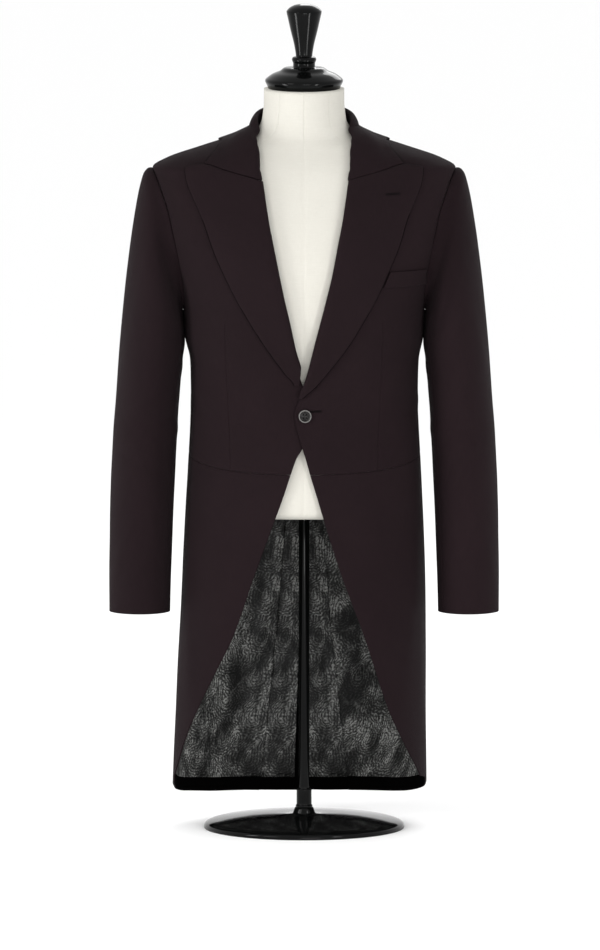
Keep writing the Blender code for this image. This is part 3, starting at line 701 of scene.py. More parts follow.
@dataclass
class ClothSheet:
    """A wall of cloth with rounded edges, drawn down where it is sewn to its neighbours."""

    name: str
    rows: Array
    thickness: float = CLOTH
    seamed: Seamed = Seamed()
    gap: float = SEAM_GAP
    dip: float = 0.7
    dip_width: float = 1.3
    bulge: float = 0.2
    groove: Array | None = None
    # Borders whose strip of outer face takes the painted shade, standing in for the shadow under a turned
    # edge, and that strip's width
    shaded_borders: Seamed = Seamed()
    shade_width: float = 1.4

    def mesh(self) -> bpy.types.Mesh:
        """Builds the closed mesh, with a UV map in metres along the cloth.

        Returns:
            The mesh. The cloth's flat width, length and area in metres are kept in self.flat, and
            which faces take the painted shade, its inner face and the shaded borders of its outer face, in
            self.inside.
        """
        rows = self._pulled_in()
        high, wide = rows.shape[:2]
        across = np.cumsum(self._steps(rows, 1), axis=1)
        along = np.cumsum(self._steps(rows, 0), axis=0)
        wall = self._wall(across, along)
        normals = unit(np.cross(np.gradient(rows, axis=1), np.gradient(rows, axis=0)))
        outer = rows + normals * wall[..., None]
        rim = self._border(high, wide)
        i, j = np.divmod(rim, wide)
        inward = np.clip(i, 1, high - 2) * wide + np.clip(j, 1, wide - 2)
        middle = (rows + outer).reshape(-1, 3) / 2
        middle = middle[rim] + unit(middle[rim] - middle[inward]) * self.bulge
        count = high * wide
        points = np.concatenate([outer.reshape(-1, 3), rows.reshape(-1, 3), middle]) * MM
        at = np.arange(count).reshape(high, wide)
        quad = [at[:-1, :-1], at[:-1, 1:], at[1:, 1:], at[1:, :-1]]
        face = np.stack([corner.ravel() for corner in quad], axis=1)
        nearer, further = np.arange(len(rim)), np.roll(np.arange(len(rim)), -1)
        mid = 2 * count
        faces = np.concatenate([
            face,
            face[:, ::-1] + count,
            np.stack([rim, mid + nearer, mid + further, rim[further]], axis=1),
            np.stack([mid + nearer, rim + count, rim[further] + count, mid + further], axis=1),
        ])
        flat = np.stack([across.ravel(), along.ravel()], axis=1) * MM
        self.flat = self._cut(rows, across, along)
        ways = (along, across[:, -1:] - across, along[-1:] - along, across)
        # Outer faces along the shaded borders take the painted shade too
        under = np.zeros(count, bool)
        for way, turned in zip(ways, self.shaded_borders):
            under |= turned & (way < self.shade_width).ravel()
        self.inside = np.zeros(len(faces), bool)
        self.inside[: len(face)] = under[face].all(axis=1)
        # The whole inner face takes the painted shade: a much darker copy of the worsted, where the cloth's
        # wrong side lies in shade
        self.inside[len(face) : 2 * len(face)] = True
        return mesh_of(self.name, points, faces, np.concatenate([flat, flat, flat[rim]]))

    def _steps(self, rows: Array, axis: int) -> Array:
        """Lengths of the steps between points along an axis, starting at 0."""
        steps = np.linalg.norm(np.diff(rows, axis=axis), axis=-1)
        pad = [(1, 0), (0, 0)] if axis == 0 else [(0, 0), (1, 0)]
        return np.pad(steps, pad)

    def _cut(self, rows: Array, across: Array, along: Array) -> tuple[float, float, float]:
        """Width, length and area of the cloth, in metres."""
        a, b = rows[1:, 1:] - rows[:-1, :-1], rows[1:, :-1] - rows[:-1, 1:]
        area = np.linalg.norm(np.cross(a, b), axis=-1).sum() / 2 * MM * MM
        width, length = across[:, -1].max() * MM, along[-1].max() * MM
        return float(width), float(length), float(min(area, width * length))

    def _wall(self, across: Array, along: Array) -> Array:
        """Thickness of the wall at each point."""
        ways = (along, across[:, -1:] - across, along[-1:] - along, across)
        dips = sum(bell(way, self.dip_width) for way, sewn in zip(ways, self.seamed) if sewn)
        wall = self.thickness - self.dip * np.minimum(dips, 1.0)
        if self.groove is not None:
            wall = wall - self.groove
        return np.maximum(wall, 0.4 * self.thickness)

    def _pulled_in(self) -> Array:
        """The rows with every border drawn in by half the gap and the bulge of its edge."""
        rows = np.array(self.rows, float)
        step = self.gap / 2 + self.bulge
        sewn = self.seamed
        for end, inner, joined in ((0, 1, sewn.start), (-1, -2, sewn.end)):
            rows[:, end] += unit(rows[:, inner] - rows[:, end]) * (step if joined else self.bulge)
        for end, inner, joined in ((0, 1, sewn.foot), (-1, -2, sewn.top)):
            rows[end] += unit(rows[inner] - rows[end]) * (step if joined else self.bulge)
        return rows

    def _border(self, high: int, wide: int) -> Array:
        """Indexes of the grid's border, in order round its outer face."""
        return np.concatenate([
            np.arange(wide),
            np.arange(1, high) * wide + wide - 1,
            (high - 1) * wide + np.arange(wide - 2, -1, -1),
            np.arange(high - 2, 0, -1) * wide,
        ])


def mesh_of(name: str, points: Array, faces: Array, flat: Array | None = None) -> bpy.types.Mesh:
    """Smooth mesh from arrays.

    Args:
        name: Name of the mesh.
        points: Its points, in metres.
        faces: Indexes of the corners of each face.
        flat: UV place of each point, if it has a UV map.

    Returns:
        The mesh.
    """
    mesh = bpy.data.meshes.new(name)
    mesh.from_pydata(points.tolist(), [], [list(face) for face in faces])
    mesh.shade_smooth()
    if flat is not None:
        layer = mesh.uv_layers.new(name="Cloth")
        corners = np.zeros(len(mesh.loops), np.int32)
        mesh.loops.foreach_get("vertex_index", corners)
        layer.data.foreach_set("uv", flat[corners].astype(np.float32).ravel())
    return mesh


def linked(name: str, data: bpy.types.ID) -> bpy.types.Object:
    """New object at the origin, put in the scene."""
    item = bpy.data.objects.new(name, data)
    bpy.context.scene.collection.objects.link(item)
    return item


def worked(item: bpy.types.Object) -> bpy.types.Mesh:
    """Plain mesh of an object with its modifiers worked in."""
    return bpy.data.meshes.new_from_object(item.evaluated_get(bpy.context.evaluated_depsgraph_get()))


def placed(name: str, mesh: bpy.types.Mesh, material: bpy.types.Material) -> bpy.types.Object:
    """Object at the origin with a material, riding on the coat's one body.

    Args:
        name: Name of the piece.
        mesh: Its mesh.
        material: Its finish.

    Returns:
        The piece.
    """
    mesh.materials.clear()
    mesh.materials.append(material)
    piece = linked(name, mesh)
    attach(piece, BODY)
    LOG.info("%s: %d faces", name, len(mesh.polygons))
    return piece


@dataclass
class Wire:
    """A value in a material's node tree, with arithmetic on it."""

    tree: bpy.types.NodeTree
    socket: bpy.types.NodeSocket

    def math(self, operation: str, *others: "Wire | float") -> "Wire":
        """Result of a Math node on this value and others."""
        node = self.tree.nodes.new("ShaderNodeMath")
        node.operation = operation
        for entry, value in zip(node.inputs, (self, *others)):
            if isinstance(value, Wire):
                self.tree.links.new(value.socket, entry)
            else:
                entry.default_value = value
        return Wire(self.tree, node.outputs[0])

    def __add__(self, other: "Wire | float") -> "Wire":
        """Sum."""
        return self.math("ADD", other)

    def __sub__(self, other: "Wire | float") -> "Wire":
        """Difference."""
        return self.math("SUBTRACT", other)

    def __mul__(self, other: "Wire | float") -> "Wire":
        """Product."""
        return self.math("MULTIPLY", other)

    def __truediv__(self, other: "Wire | float") -> "Wire":
        """Quotient."""
        return self.math("DIVIDE", other)

    def band(self, low: float, high: float, soft: float) -> "Wire":
        """1 where the value lies between low and high, with soft borders."""
        return self.ramp(low - soft, low + soft) * (self * -1.0).ramp(-high - soft, -high + soft)

    def ramp(self, low: float, high: float) -> "Wire":
        """Smooth step from 0 at low to 1 at high."""
        node = self.tree.nodes.new("ShaderNodeMapRange")
        node.interpolation_type = "SMOOTHSTEP"
        self.tree.links.new(self.socket, node.inputs["Value"])
        node.inputs["From Min"].default_value = low
        node.inputs["From Max"].default_value = high
        return Wire(self.tree, node.outputs[0])


class Place(Enum):
    """Coordinates that a finish reads."""

    CLOTH = "UV"
    OBJECT = "Object"


@dataclass(frozen=True)
class Finish:
    """A finish: its two colours and the shader's own settings."""

    name: str
    dark: tuple[float, float, float]
    light: tuple[float, float, float]
    roughness: float
    bump: float
    place: Place
    settings: tuple[tuple[str, float], ...] = ()

    def material(self) -> bpy.types.Material:
        """Builds the material: colour between dark and light, roughness and bump from its pattern."""
        material = bpy.data.materials.new(self.name)
        material.use_nodes = True
        tree = material.node_tree
        shader = tree.nodes["Principled BSDF"]
        for socket, value in self.settings:
            shader.inputs[socket].default_value = value
        tone, height, rough = self.pattern(tree)
        mix = tree.nodes.new("ShaderNodeMix")
        mix.data_type = "RGBA"
        mix.inputs[6].default_value = (*self.dark, 1)
        mix.inputs[7].default_value = (*self.light, 1)
        tree.links.new(tone.socket, mix.inputs[0])
        tree.links.new(mix.outputs[2], shader.inputs["Base Color"])
        bump = tree.nodes.new("ShaderNodeBump")
        bump.inputs["Strength"].default_value = 1.0
        bump.inputs["Distance"].default_value = self.bump
        tree.links.new(height.socket, bump.inputs["Height"])
        tree.links.new(bump.outputs[0], shader.inputs["Normal"])
        tree.links.new((rough + self.roughness).socket, shader.inputs["Roughness"])
        return material

    def at(self, tree: bpy.types.NodeTree) -> bpy.types.NodeSocket:
        """Coordinates of the finish."""
        return tree.nodes.new("ShaderNodeTexCoord").outputs[self.place.value]

    def across(self, tree: bpy.types.NodeTree) -> tuple[Wire, Wire]:
        """The first two coordinates, in millimetres."""
        split = tree.nodes.new("ShaderNodeSeparateXYZ")
        tree.links.new(self.at(tree), split.inputs[0])
        return Wire(tree, split.outputs[0]) * 1000.0, Wire(tree, split.outputs[1]) * 1000.0

    def noise(self, tree: bpy.types.NodeTree, scale: tuple[float, float, float], detail: float = 3.0) -> Wire:
        """Noise stretched by a scale per metre on each axis, about 0."""
        mapping = tree.nodes.new("ShaderNodeMapping")
        mapping.inputs["Scale"].default_value = scale
        tree.links.new(self.at(tree), mapping.inputs["Vector"])
        node = tree.nodes.new("ShaderNodeTexNoise")
        node.inputs["Scale"].default_value = 1.0
        node.inputs["Detail"].default_value = detail
        tree.links.new(mapping.outputs[0], node.inputs["Vector"])
        return Wire(tree, node.outputs[0]) - 0.5

    def pattern(self, tree: bpy.types.NodeTree) -> tuple[Wire, Wire, Wire]:
        """Tone from 0 to 1, height and change of roughness."""
        broad = self.noise(tree, (18, 18, 18))
        fine = self.noise(tree, (420, 420, 420))
        return broad + 0.5, fine + broad * 0.3, broad * 0.08


@dataclass(frozen=True)
class Worsted(Finish):
    """Fine black twill with a dry hand."""

    twill: float = 0.9
    steepness: float = 1.9
    weft: float = 0.55

    def pattern(self, tree: bpy.types.NodeTree) -> tuple[Wire, Wire, Wire]:
        """Steep twill lines crossed by the weft, with a slight slub and nap."""
        u, v = self.across(tree)
        ribs = ((u * self.steepness + v) * (WAVE / self.twill)).math("SINE")
        weft = (v * (WAVE / self.weft)).math("SINE")
        slub = self.noise(tree, (900, 60, 1))
        nap = self.noise(tree, (2600, 2600, 1), 2.0)
        broad = self.noise(tree, (9, 7, 1))
        tone = ribs * 0.14 + weft * 0.06 + slub * 0.5 + nap * 0.5 + broad * 0.5 + 0.5
        height = ribs * 0.5 + weft * 0.22 + slub * 0.5 + nap * 0.6
        return tone, height, broad * 0.1 + nap * 0.1


@dataclass(frozen=True)
class Linen(Finish):
    """Plain-woven cover of the bust."""

    thread: float = 0.75

    def pattern(self, tree: bpy.types.NodeTree) -> tuple[Wire, Wire, Wire]:
        """Warp and weft with slubs, and faint handling marks."""
        split = tree.nodes.new("ShaderNodeSeparateXYZ")
        tree.links.new(self.at(tree), split.inputs[0])
        x, y, z = (Wire(tree, split.outputs[i]) * (6283.2 / self.thread) for i in range(3))
        warp, weft = (x + y * 0.6).math("SINE"), z.math("SINE")
        slub = self.noise(tree, (90, 90, 900))
        rough = self.noise(tree, (700, 700, 90))
        broad = self.noise(tree, (7, 7, 5))
        tone = warp * weft * 0.12 + slub * 0.5 + rough * 0.4 + broad * 0.6 + 0.55
        return tone, warp * 0.4 + weft * 0.4 + slub * 0.8 + rough * 0.6, broad * 0.1


@dataclass(frozen=True)
class Paisley(Finish):
    """Black satin jacquard: paisley drops in half drop, with echoing lines and flowers between them."""

    width: float = 46.0
    height: float = 62.0
    head: float = 11.0
    tip: float = 30.0
    curl: float = 12.0
    raised: float = 6.0
    echo: float = 4.3
    drift: float = 15.0
    sway: float = 17.0
    scallops: float = 16.0
    dashes: float = 22.0

    def pattern(self, tree: bpy.types.NodeTree) -> tuple[Wire, Wire, Wire]:
        """Motif in shiny weft on a dull ground, with painted shade in patches and along creases, and painted
        sheen and highlights where the satin crumples and on its crests.
        """
        u, v = self.across(tree)
        drift = self.noise(tree, (30, 26, 1), 2.0)
        sway = self.noise(tree, (21, 33, 1), 2.0)
        motif = self._motif(u + drift * self.drift, v + sway * self.sway)
        speck = self.noise(tree, (330, 330, 1), 2.0).ramp(-0.13, 0.13)
        crumple = self.noise(tree, (40, 22, 1), 4.0)
        # Painted shade in broad patches and along creases, painted sheen from the crumple noise and painted
        # highlights on thin crests, standing in for light on the crumpled satin
        painted_shade_patch = self.noise(tree, (24, 11, 1), 3.0).ramp(-0.11, 0.07) * 0.86 + 0.14
        painted_crease_shade = self.noise(tree, (19, 13, 1), 3.0).math("ABSOLUTE").ramp(0.0, 0.05) * 0.5 + 0.5
        painted_crest_highlight = self.noise(tree, (13, 9, 1), 3.0).band(-0.007, 0.007, 0.007) * 0.16 * (speck * 0.6 + 0.4)
        painted_sheen = (crumple.ramp(-0.2, 0.2) * 1.3 + 0.3) * painted_crease_shade
        weave = motif * (speck * 0.75 + 0.25) + speck * 0.22 + 0.04
        height = motif * 0.5 + crumple * 8.0
        return weave * painted_sheen * painted_shade_patch + painted_crest_highlight * painted_crease_shade, height, motif * 0.1 - crumple * 0.2

    def _motif(self, u: Wire, v: Wire) -> Wire:
        """Where the pattern's weft shows."""
        column = (u / self.width).math("FLOOR")
        odd = column.math("FLOORED_MODULO", 2.0)
        x = (u / self.width).math("FRACT") * self.width - self.width / 2
        y = (v / self.height + odd * 0.5).math("FRACT") * self.height - self.height / 2
        x = x * (odd * 2.0 - 1.0)
        y = y + self.raised
        angle = y.math("ARCTAN2", x)
        drop = self._drop(x, y)
        scallop = (angle * self.scallops).math("SINE") * 0.6
        echo = ((drop + scallop) * (WAVE / self.echo)).math("SINE").ramp(-0.2, 0.8)
        dashes = (angle * self.dashes + drop * 0.7).math("SINE").ramp(-0.6, 0.3) * 0.7 + 0.3
        outside = drop.ramp(0.4, 1.2)
        lines = echo * (outside * dashes + (drop * -1.0).ramp(0.0, 0.6))
        rim = drop.band(-0.7, 0.9, 0.5)
        edge_x = x.math("ABSOLUTE") - self.width / 2
        sprig = self._flower(edge_x, y - 16.0, 7.0, 5.0)
        small = self._flower(edge_x, y + 14.0, 5.0, 6.0)
        eye = self._flower(x, y, 4.8, 6.0)
        for mark in (rim, eye, sprig, small):
            lines = lines.math("MAXIMUM", mark * 0.9)
        return lines

    def _drop(self, x: Wire, y: Wire) -> Wire:
        """Distance outside a drop whose tip curls to one side."""
        up, down = y.math("MAXIMUM", 0.0), y.math("MINIMUM", 0.0)
        share = (up / self.tip).math("MINIMUM", 1.0)
        bent = x - share * share * self.curl
        wide = (share * 1.5708).math("COSINE").math("POWER", 1.25) * self.head
        past = (up - self.tip).math("MAXIMUM", 0.0)
        return (bent * bent + down * down + past * past).math("SQRT") - wide

    def _flower(self, x: Wire, y: Wire, radius: float, petals: float) -> Wire:
        """Small flower with an open eye."""
        reach = (x * x + y * y).math("SQRT")
        petal = (y.math("ARCTAN2", x) * petals).math("COSINE") * 0.22 + 0.78
        return (reach / petal).band(radius * 0.36, radius * 0.92, 0.3)


@dataclass(frozen=True)
class Horn(Finish):
    """Dark turned horn: streaked face inside a rim lit by a painted highlight."""

    # Inner and outer reach of the rim's painted highlight
    rim: tuple[float, float] = (8.1, 9.4)

    def pattern(self, tree: bpy.types.NodeTree) -> tuple[Wire, Wire, Wire]:
        """Streaks and turning rings on the face, and a painted highlight on the rim."""
        u, v = self.across(tree)
        reach = (u * u + v * v).math("SQRT")
        streak = self.noise(tree, (900, 260, 1), 3.0)
        ring = (reach * 2.6).math("SINE")
        # Painted highlight: a light band on the raised rim where it catches the lamps
        rim = reach.band(self.rim[0], self.rim[1], 0.35)
        face = (streak * 2.4 + ring * 0.06 + 0.10).math("MAXIMUM", 0.0)
        return rim * 0.85 + face * 0.45, streak * 0.6 + ring * 0.3, streak * 0.05


@dataclass(frozen=True)
class Lacquer(Finish):
    """Deep black lacquer over turned wood or steel."""

    def pattern(self, tree: bpy.types.NodeTree) -> tuple[Wire, Wire, Wire]:
        """Slight waviness of the coats and faint dust in them."""
        wave = self.noise(tree, (60, 60, 40), 1.0)
        dust = self.noise(tree, (1500, 1500, 1500), 1.0)
        return dust * 0.6 + 0.4, wave * 0.7 + dust * 0.05, wave * 0.05


FINISHES = {
    "worsted": Worsted(
        "black_worsted", (0.0052, 0.0024, 0.0033), (0.0148, 0.0084, 0.0100), 0.82, 0.00012, Place.CLOTH,
        (("Specular IOR Level", 0.06), ("Sheen Weight", 0.008), ("Sheen Roughness", 0.5)),
    ),
    # Much darker copy of the worsted: painted shade for the cloth's inner faces and for the strips along
    # lapel and collar edges that stand in for the shadow under them
    "wrong_side": Worsted(
        "worsted_wrong_side", (0.0005, 0.0005, 0.0005), (0.0016, 0.0014, 0.0014), 0.9, 0.00010, Place.CLOTH,
        (("Specular IOR Level", 0.01),),
    ),
    "lining": Paisley(
        "paisley_satin", (0.0016, 0.0016, 0.0016), (0.295, 0.298, 0.286), 0.34, 0.00024, Place.CLOTH,
        (("Specular IOR Level", 0.12),),
    ),
    "horn": Horn(
        "dark_horn", (0.0024, 0.0022, 0.0022), (0.150, 0.145, 0.140), 0.28, 0.00004, Place.CLOTH,
        (("Specular IOR Level", 0.10),),
    ),
    "linen": Linen(
        "cream_linen", (0.455, 0.438, 0.394), (0.545, 0.532, 0.484), 0.82, 0.00010, Place.OBJECT,
        (("Specular IOR Level", 0.3),),
    ),
    "lacquer": Lacquer(
        "black_lacquer", (0.0012, 0.0013, 0.0013), (0.0030, 0.0032, 0.0032), 0.10, 0.00004, Place.OBJECT,
        (("Specular IOR Level", 0.10),),
    ),
    "thread": Finish(
        "black_thread", (0.0012, 0.0010, 0.0011), (0.0050, 0.0040, 0.0043), 0.7, 0.00005, Place.OBJECT,
        (("Specular IOR Level", 0.05),),
    ),
}


@dataclass
class Tailoring:
    """What every cloth sub-assembly shares: the form, the finishes and the finished pieces."""

    form: CoatForm
    materials: dict[str, bpy.types.Material]
    pieces: dict[str, bpy.types.Object]

    def hang(
        self, sheet: ClothSheet, node: str, finish: str, held: str, rests_on: Sequence[str]
    ) -> bpy.types.Object:
        """Makes a sheet's piece, in place of its CAD node.

        Args:
            sheet: The sheet.
            node: The CAD node that it stands for.
            finish: Key of its finish.
            held: How the cloth is held; not used.
            rests_on: What it hangs from or lies on; not used.

        Returns:
            The piece.
        """
        mesh = sheet.mesh()
        piece = placed(sheet.name, mesh, self.materials[finish])
        # Worsted pieces get the darker painted-shade copy of the cloth on their inner faces and shaded
        # borders
        if finish == "worsted":
            mesh.materials.append(self.materials["wrong_side"])
            mesh.polygons.foreach_set("material_index", sheet.inside.astype(np.int32))
        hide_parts(node)
        self.pieces[node] = piece
        return piece

    def panel_rows(self, side: Side, grid: Grid, thickness: float) -> Array:
        """Points of a panel's inner face, in an order that turns its outer face out."""
        rows = self.form.skin(side.sign * grid.turn, grid.z, grid.lift - thickness)
        return rows if side is Side.LEFT else rows[:, ::-1]

    def panel(
        self,
        node: str,
        side: Side,
        grid: Grid,
        seamed: Seamed,
        gap: float = SEAM_GAP,
        groove: Array | None = None,
    ) -> bpy.types.Object:
        """Hangs a worsted panel on the bust.

        Args:
            node: Name of the panel without its side.
            side: The side it is on.
            grid: Spots of its outer face.
            seamed: Its sewn borders, with start at the first column of the grid.
            gap: Room left at its borders.
            groove: Depth of seams across it, at each spot.

        Returns:
            The piece.
        """
        if side is Side.RIGHT:
            seamed = seamed._replace(start=seamed.end, end=seamed.start)
            groove = None if groove is None else groove[:, ::-1]
        name = f"{node}_{side.value}"
        rows = self.panel_rows(side, grid, CLOTH)
        sheet = ClothSheet(f"{name}_cloth", rows, CLOTH, seamed, gap, groove=groove)
        return self.hang(sheet, name, "worsted", "hung", ["bust"])


@dataclass
class Foreparts(Tailoring):
    """Fronts above the waist seam, each shaped by a dart."""

    dart_x: tuple[float, float] = (110.0, 118.0)
    dart_top: float = 778.0
    dart_foot: float = 550.0
    dart_depth: float = 0.85
    dart_width: float = 1.0
    fan_rows: int = 62
    hole_rows: int = 42
    neck_rows: int = 16
    half_columns: int = 34

    def build(self, side: Side) -> None:
        """Builds one front."""
        form = self.form
        top = form.side_seam_top
        around = np.linspace(form.side_seam_turn, 0, self.hole_rows)
        fan = np.linspace(0, 1, self.fan_rows)[:-1] ** 1.35
        share = np.concatenate([fan, np.ones(self.hole_rows + self.neck_rows)])
        tops = np.concatenate([
            np.full(self.fan_rows - 1, top),
            form.armhole(around)[1],
            np.linspace(form.shoulder_z, form.neck_point_z - 2.5, self.neck_rows + 1)[1:],
        ])
        share, tops = share[:, None], tops[:, None]
        half = eased(self.half_columns)
        u = np.concatenate([half * 0.5, 0.5 + half[1:] * 0.5])[None, :]

        def outer(z: Array) -> Array:
            """Turn of the outer border."""
            return np.where(z < top, form.side_seam(z), form.armhole_turn(z, -form.armhole_front))

        def dart(z: Array) -> Array:
            """Turn of the dart, and of the line that carries it on up."""
            reach = between(self.dart_x[0], self.dart_x[1], rising(self.dart_foot, self.dart_top, z))
            middle = between(form.edge(side, z), outer(z), 0.5)
            return between(form.turn_at(side, reach, z), middle, rising(self.dart_top, 900, z))

        def mark(z: Array) -> Array:
            """Turn of each column."""
            near = between(form.edge(side, z), dart(z), np.minimum(2 * u, 1))
            far = between(dart(z), outer(z), np.maximum(2 * u - 1, 0))
            return np.where(u < 0.5, near, far)

        grid = Grid.settled(lambda turn: between(form.waist_z(turn), tops, share), mark, len(tops), u.size)
        if side is Side.LEFT:
            grid.lift = form.front_lap(grid.turn, grid.z)
        middle = grid.turn[:, self.half_columns - 1:self.half_columns]
        sewn = bell((grid.turn - middle) * form.arc, self.dart_width)
        groove = self.dart_depth * sewn * rising(self.dart_top, self.dart_top - 14, grid.z)
        self.panel("forepart", side, grid, Seamed(True, True, True, False), groove=groove)


@dataclass
class SideBodies(Tailoring):
    """Panels under the arms, between the side seam and the curved back seam."""

    rows: int = 64
    columns: int = 40

    def build(self, side: Side) -> None:
        """Builds one side panel."""
        form = self.form
        share = eased(self.columns)[None, :]
        height = eased(self.rows)[:, None]
        depth, top_z = form.armhole(between(form.side_seam_turn, form.back_seam_turn, share))
        foot = between(form.side_seam(form.waist_z_front), form.back_seam(side, form.back_seam_foot), share)
        z = between(form.waist_z(foot), top_z, height)
        turn = between(form.side_seam(z), form.back_seam(side, z), share)
        top = between(form.side_seam(top_z), form.back_seam(side, top_z), share)
        turn = turn + (form.turn_at_depth(depth, top_z) - top) * height ** 3
        grid = Grid(turn, z, np.zeros(turn.shape))
        self.panel("side_body", side, grid, Seamed(True, True, True, True), gap=WIDE_SEAM_GAP)


@dataclass
class Backs(Tailoring):
    """Backs in one piece from the neck to the hem of the tails, with the tails' linings."""

    lap: float = 19.0
    vent_top: float = 566.0
    vent_lap: float = 28.0
    lap_start: float = 645.0
    lap_full: float = 594.0
    hem_band: float = 20.0
    seam_depth: float = 0.95
    seam_width: float = 1.4
    tail_rows: int = 84
    fan_rows: int = 44
    columns: int = 66

    def build(self, side: Side) -> None:
        """Builds one back and the lining of its tail."""
        form = self.form
        length = form.waist_z(180.0) - form.hem_z_back
        band, vent = self.hem_band / length, (self.vent_top - form.hem_z_back) / length
        tail = np.concatenate([
            np.linspace(0, band, 7)[:-1], np.linspace(band, vent - 0.02, self.tail_rows - 15),
            np.linspace(vent - 0.02, vent, 10)[1:],
        ])[:, None]
        u = eased(self.columns, 0.7)[None, :]
        in_tail = Grid.settled(
            lambda turn: between(form.hem_z(turn), form.waist_z(turn), tail),
            lambda z: self._tail_mark(side, z, u), tail.size, u.size,
        )
        grid = self._above(side, u)
        grid = Grid(*(np.concatenate(pair) for pair in (
            (in_tail.turn, grid.turn), (in_tail.z, grid.z), (in_tail.lift, grid.lift)
        )))
        grid.lift = self._lift(side, grid)
        self.panel("back", side, grid, Seamed(False, False, True, False), groove=self._centre(grid))
        self._lining(side, in_tail)

    def _above(self, side: Side, u: Array) -> Grid:
        """Spots above the waist."""
        form = self.form
        around = np.linspace(form.back_seam_turn, 360, 34)
        share = np.linspace(0, 1, self.fan_rows)[:-1]
        neck = np.linspace(0, 1, 16)[1:]
        rows = len(share) + len(around) + len(neck)

        def level(turn: Array) -> Array:
            """Heights of all the rows."""
            top = between(form.neck_point_z - 2.5, form.neck_back_z, np.clip((turn - 90) / 90, 0, 1))
            fan = between(form.waist_z(turn[:len(share)]), form.back_seam_top, share[:, None])
            flat = np.broadcast_to(form.armhole(around)[1][:, None], (len(around), turn.shape[1]))
            high = between(form.shoulder_z, top[-len(neck):], neck[:, None])
            return np.concatenate([fan, flat, high])

        def mark(z: Array) -> Array:
            """Turn of each column, from the outer border to the centre back."""
            hole = form.armhole_turn(z, form.armhole_back)
            outer = np.where(z < form.back_seam_top, form.back_seam(side, z), hole)
            return between(outer, 180.0, u)

        return Grid.settled(level, mark, rows, u.size)

    def _tail_mark(self, side: Side, z: Array, u: Array) -> Array:
        """Turn of each column of a tail: edge, pleat under it, lining's edge at the vent, vent."""
        form = self.form

        def at(reach: Array | float) -> Array:
            """Turn of a reach from the centre back."""
            return form.turn_at(side, reach, z, back=True)

        if side is Side.RIGHT:
            band, vent = BAND_X(z), np.zeros(z.shape)
        else:
            band = 4 - 1.5 * rising(self.vent_top + 30, self.vent_top, z)
            vent = -self.vent_lap * rising(self.vent_top, self.vent_top - 10, z)
        pleat = TAIL_X(z) - self.lap
        inside = (between(at(pleat), at(band), k / 3) for k in (1, 2, 3))
        lines = [at(TAIL_X(z)), at(pleat), *inside, at(vent)]
        stops = np.linspace(0, 1, len(lines))
        turn = lines[0]
        for low, a, b in zip(stops, lines, lines[1:]):
            turn = np.where(u >= low, between(a, b, np.clip((u - low) * (len(lines) - 1), 0, 1)), turn)
        return turn

    def _lift(self, side: Side, grid: Grid) -> Array:
        """The tails lie over the skirts' pleats, and the left tail over the right one."""
        rise = rising(self.lap_start, self.lap_full, grid.z)
        lift = LAP_LIFT * rise
        if side is Side.LEFT:
            lift = lift + LAP_LIFT * rising(34, 10, self.form.body(grid.turn, grid.z)[..., 0]) * rise
        return lift

    def _centre(self, grid: Grid) -> Array:
        """Depth of the centre back seam above the vent and of the back seam above the waist."""
        centre = bell((grid.turn - grid.turn[:, -1:]) * self.form.arc, self.seam_width)
        edge = bell((grid.turn - grid.turn[:, :1]) * self.form.arc, self.seam_width)
        above = rising(self.vent_top - 4, self.vent_top + 6, grid.z)
        joined = rising(self.form.back_seam_foot - 2, self.form.back_seam_foot + 10, grid.z)
        return self.seam_depth * (centre * above + edge * joined)

    def _lining(self, side: Side, grid: Grid) -> None:
        """Lining of a tail, from the pleat to the band at the vent."""
        places = eased(self.columns, 0.7)
        first, last = np.searchsorted(places, 0.2), np.searchsorted(places, 0.8)
        inside = grid.part(slice(6, None), slice(first, last + 1))
        inside.lift = self._lift(side, inside)
        Lining(self.form, self.materials, self.pieces).build("tail_lining", side, inside, "back")


@dataclass
class Lining(Tailoring):
    """Satin laid inside a panel, crumpled a little between its sewn borders."""

    crumple: float = 3.4

    def build(self, node: str, side: Side, grid: Grid, outer: str) -> None:
        """Builds a lining.

        Args:
            node: Name of the lining without its side.
            side: Its side.
            grid: Spots of the outer face of the panel that it lies in.
            outer: Name of that panel without its side.
        """
        high, wide = grid.z.shape
        rows, columns = np.linspace(0, 1, high)[:, None], np.linspace(0, 1, wide)[None, :]
        ends = np.minimum(np.minimum(rows, 1 - rows) * 14, np.minimum(columns, 1 - columns) * 9)
        held = rising(0.0, 1.0, ends)
        fold = self._folds(side.sign * grid.turn * self.form.arc, grid.z) * held
        lift = grid.lift - CLOTH - LAY_GAP - fold
        name = f"{node}_{side.value}"
        laid = self.panel_rows(side, Grid(grid.turn, grid.z, lift), LINING_CLOTH)
        sheet = ClothSheet(f"{name}_satin", laid, LINING_CLOTH, Seamed(), dip=0.0, bulge=0.15)
        self.hang(sheet, name, "lining", "hung", [self.pieces[f"{outer}_{side.value}"].name])

    def _folds(self, s: Array, z: Array) -> Array:
        """Depth of the satin's folds: drags that lean and cross, with crests between soft hollows."""
        drift = 11 * np.sin(0.021 * z + 0.013 * s) + 6 * np.sin(0.047 * z - 0.03 * s + 1.0)
        long = 1 - np.abs(np.sin((s + drift) * 0.041 + 0.5 * np.sin(z * 0.009)))
        bow = 0.8 * np.sin(0.011 * s + 2.0)
        lean = 1 - np.abs(np.sin((s * 0.6 + z * 0.55 + drift * 1.9) * 0.038 + bow))
        cross = 1 - np.abs(np.sin((z - 0.35 * s - drift * 1.4) * 0.031 + 0.7))
        fine = 1 - np.abs(np.sin((s * 0.9 - z * 0.6 - drift) * 0.11 + 2 * np.sin(0.02 * z)))
        where = 0.5 + 0.5 * np.sin(0.017 * z + 0.023 * s + 0.6)
        low = rising(330, 150, z)
        folds = 0.4 * long ** 3 + 0.5 * lean ** 3 * where + 0.45 * cross ** 4 * low
        return self.crumple * (folds + 0.22 * fine ** 2 * (1 - where))


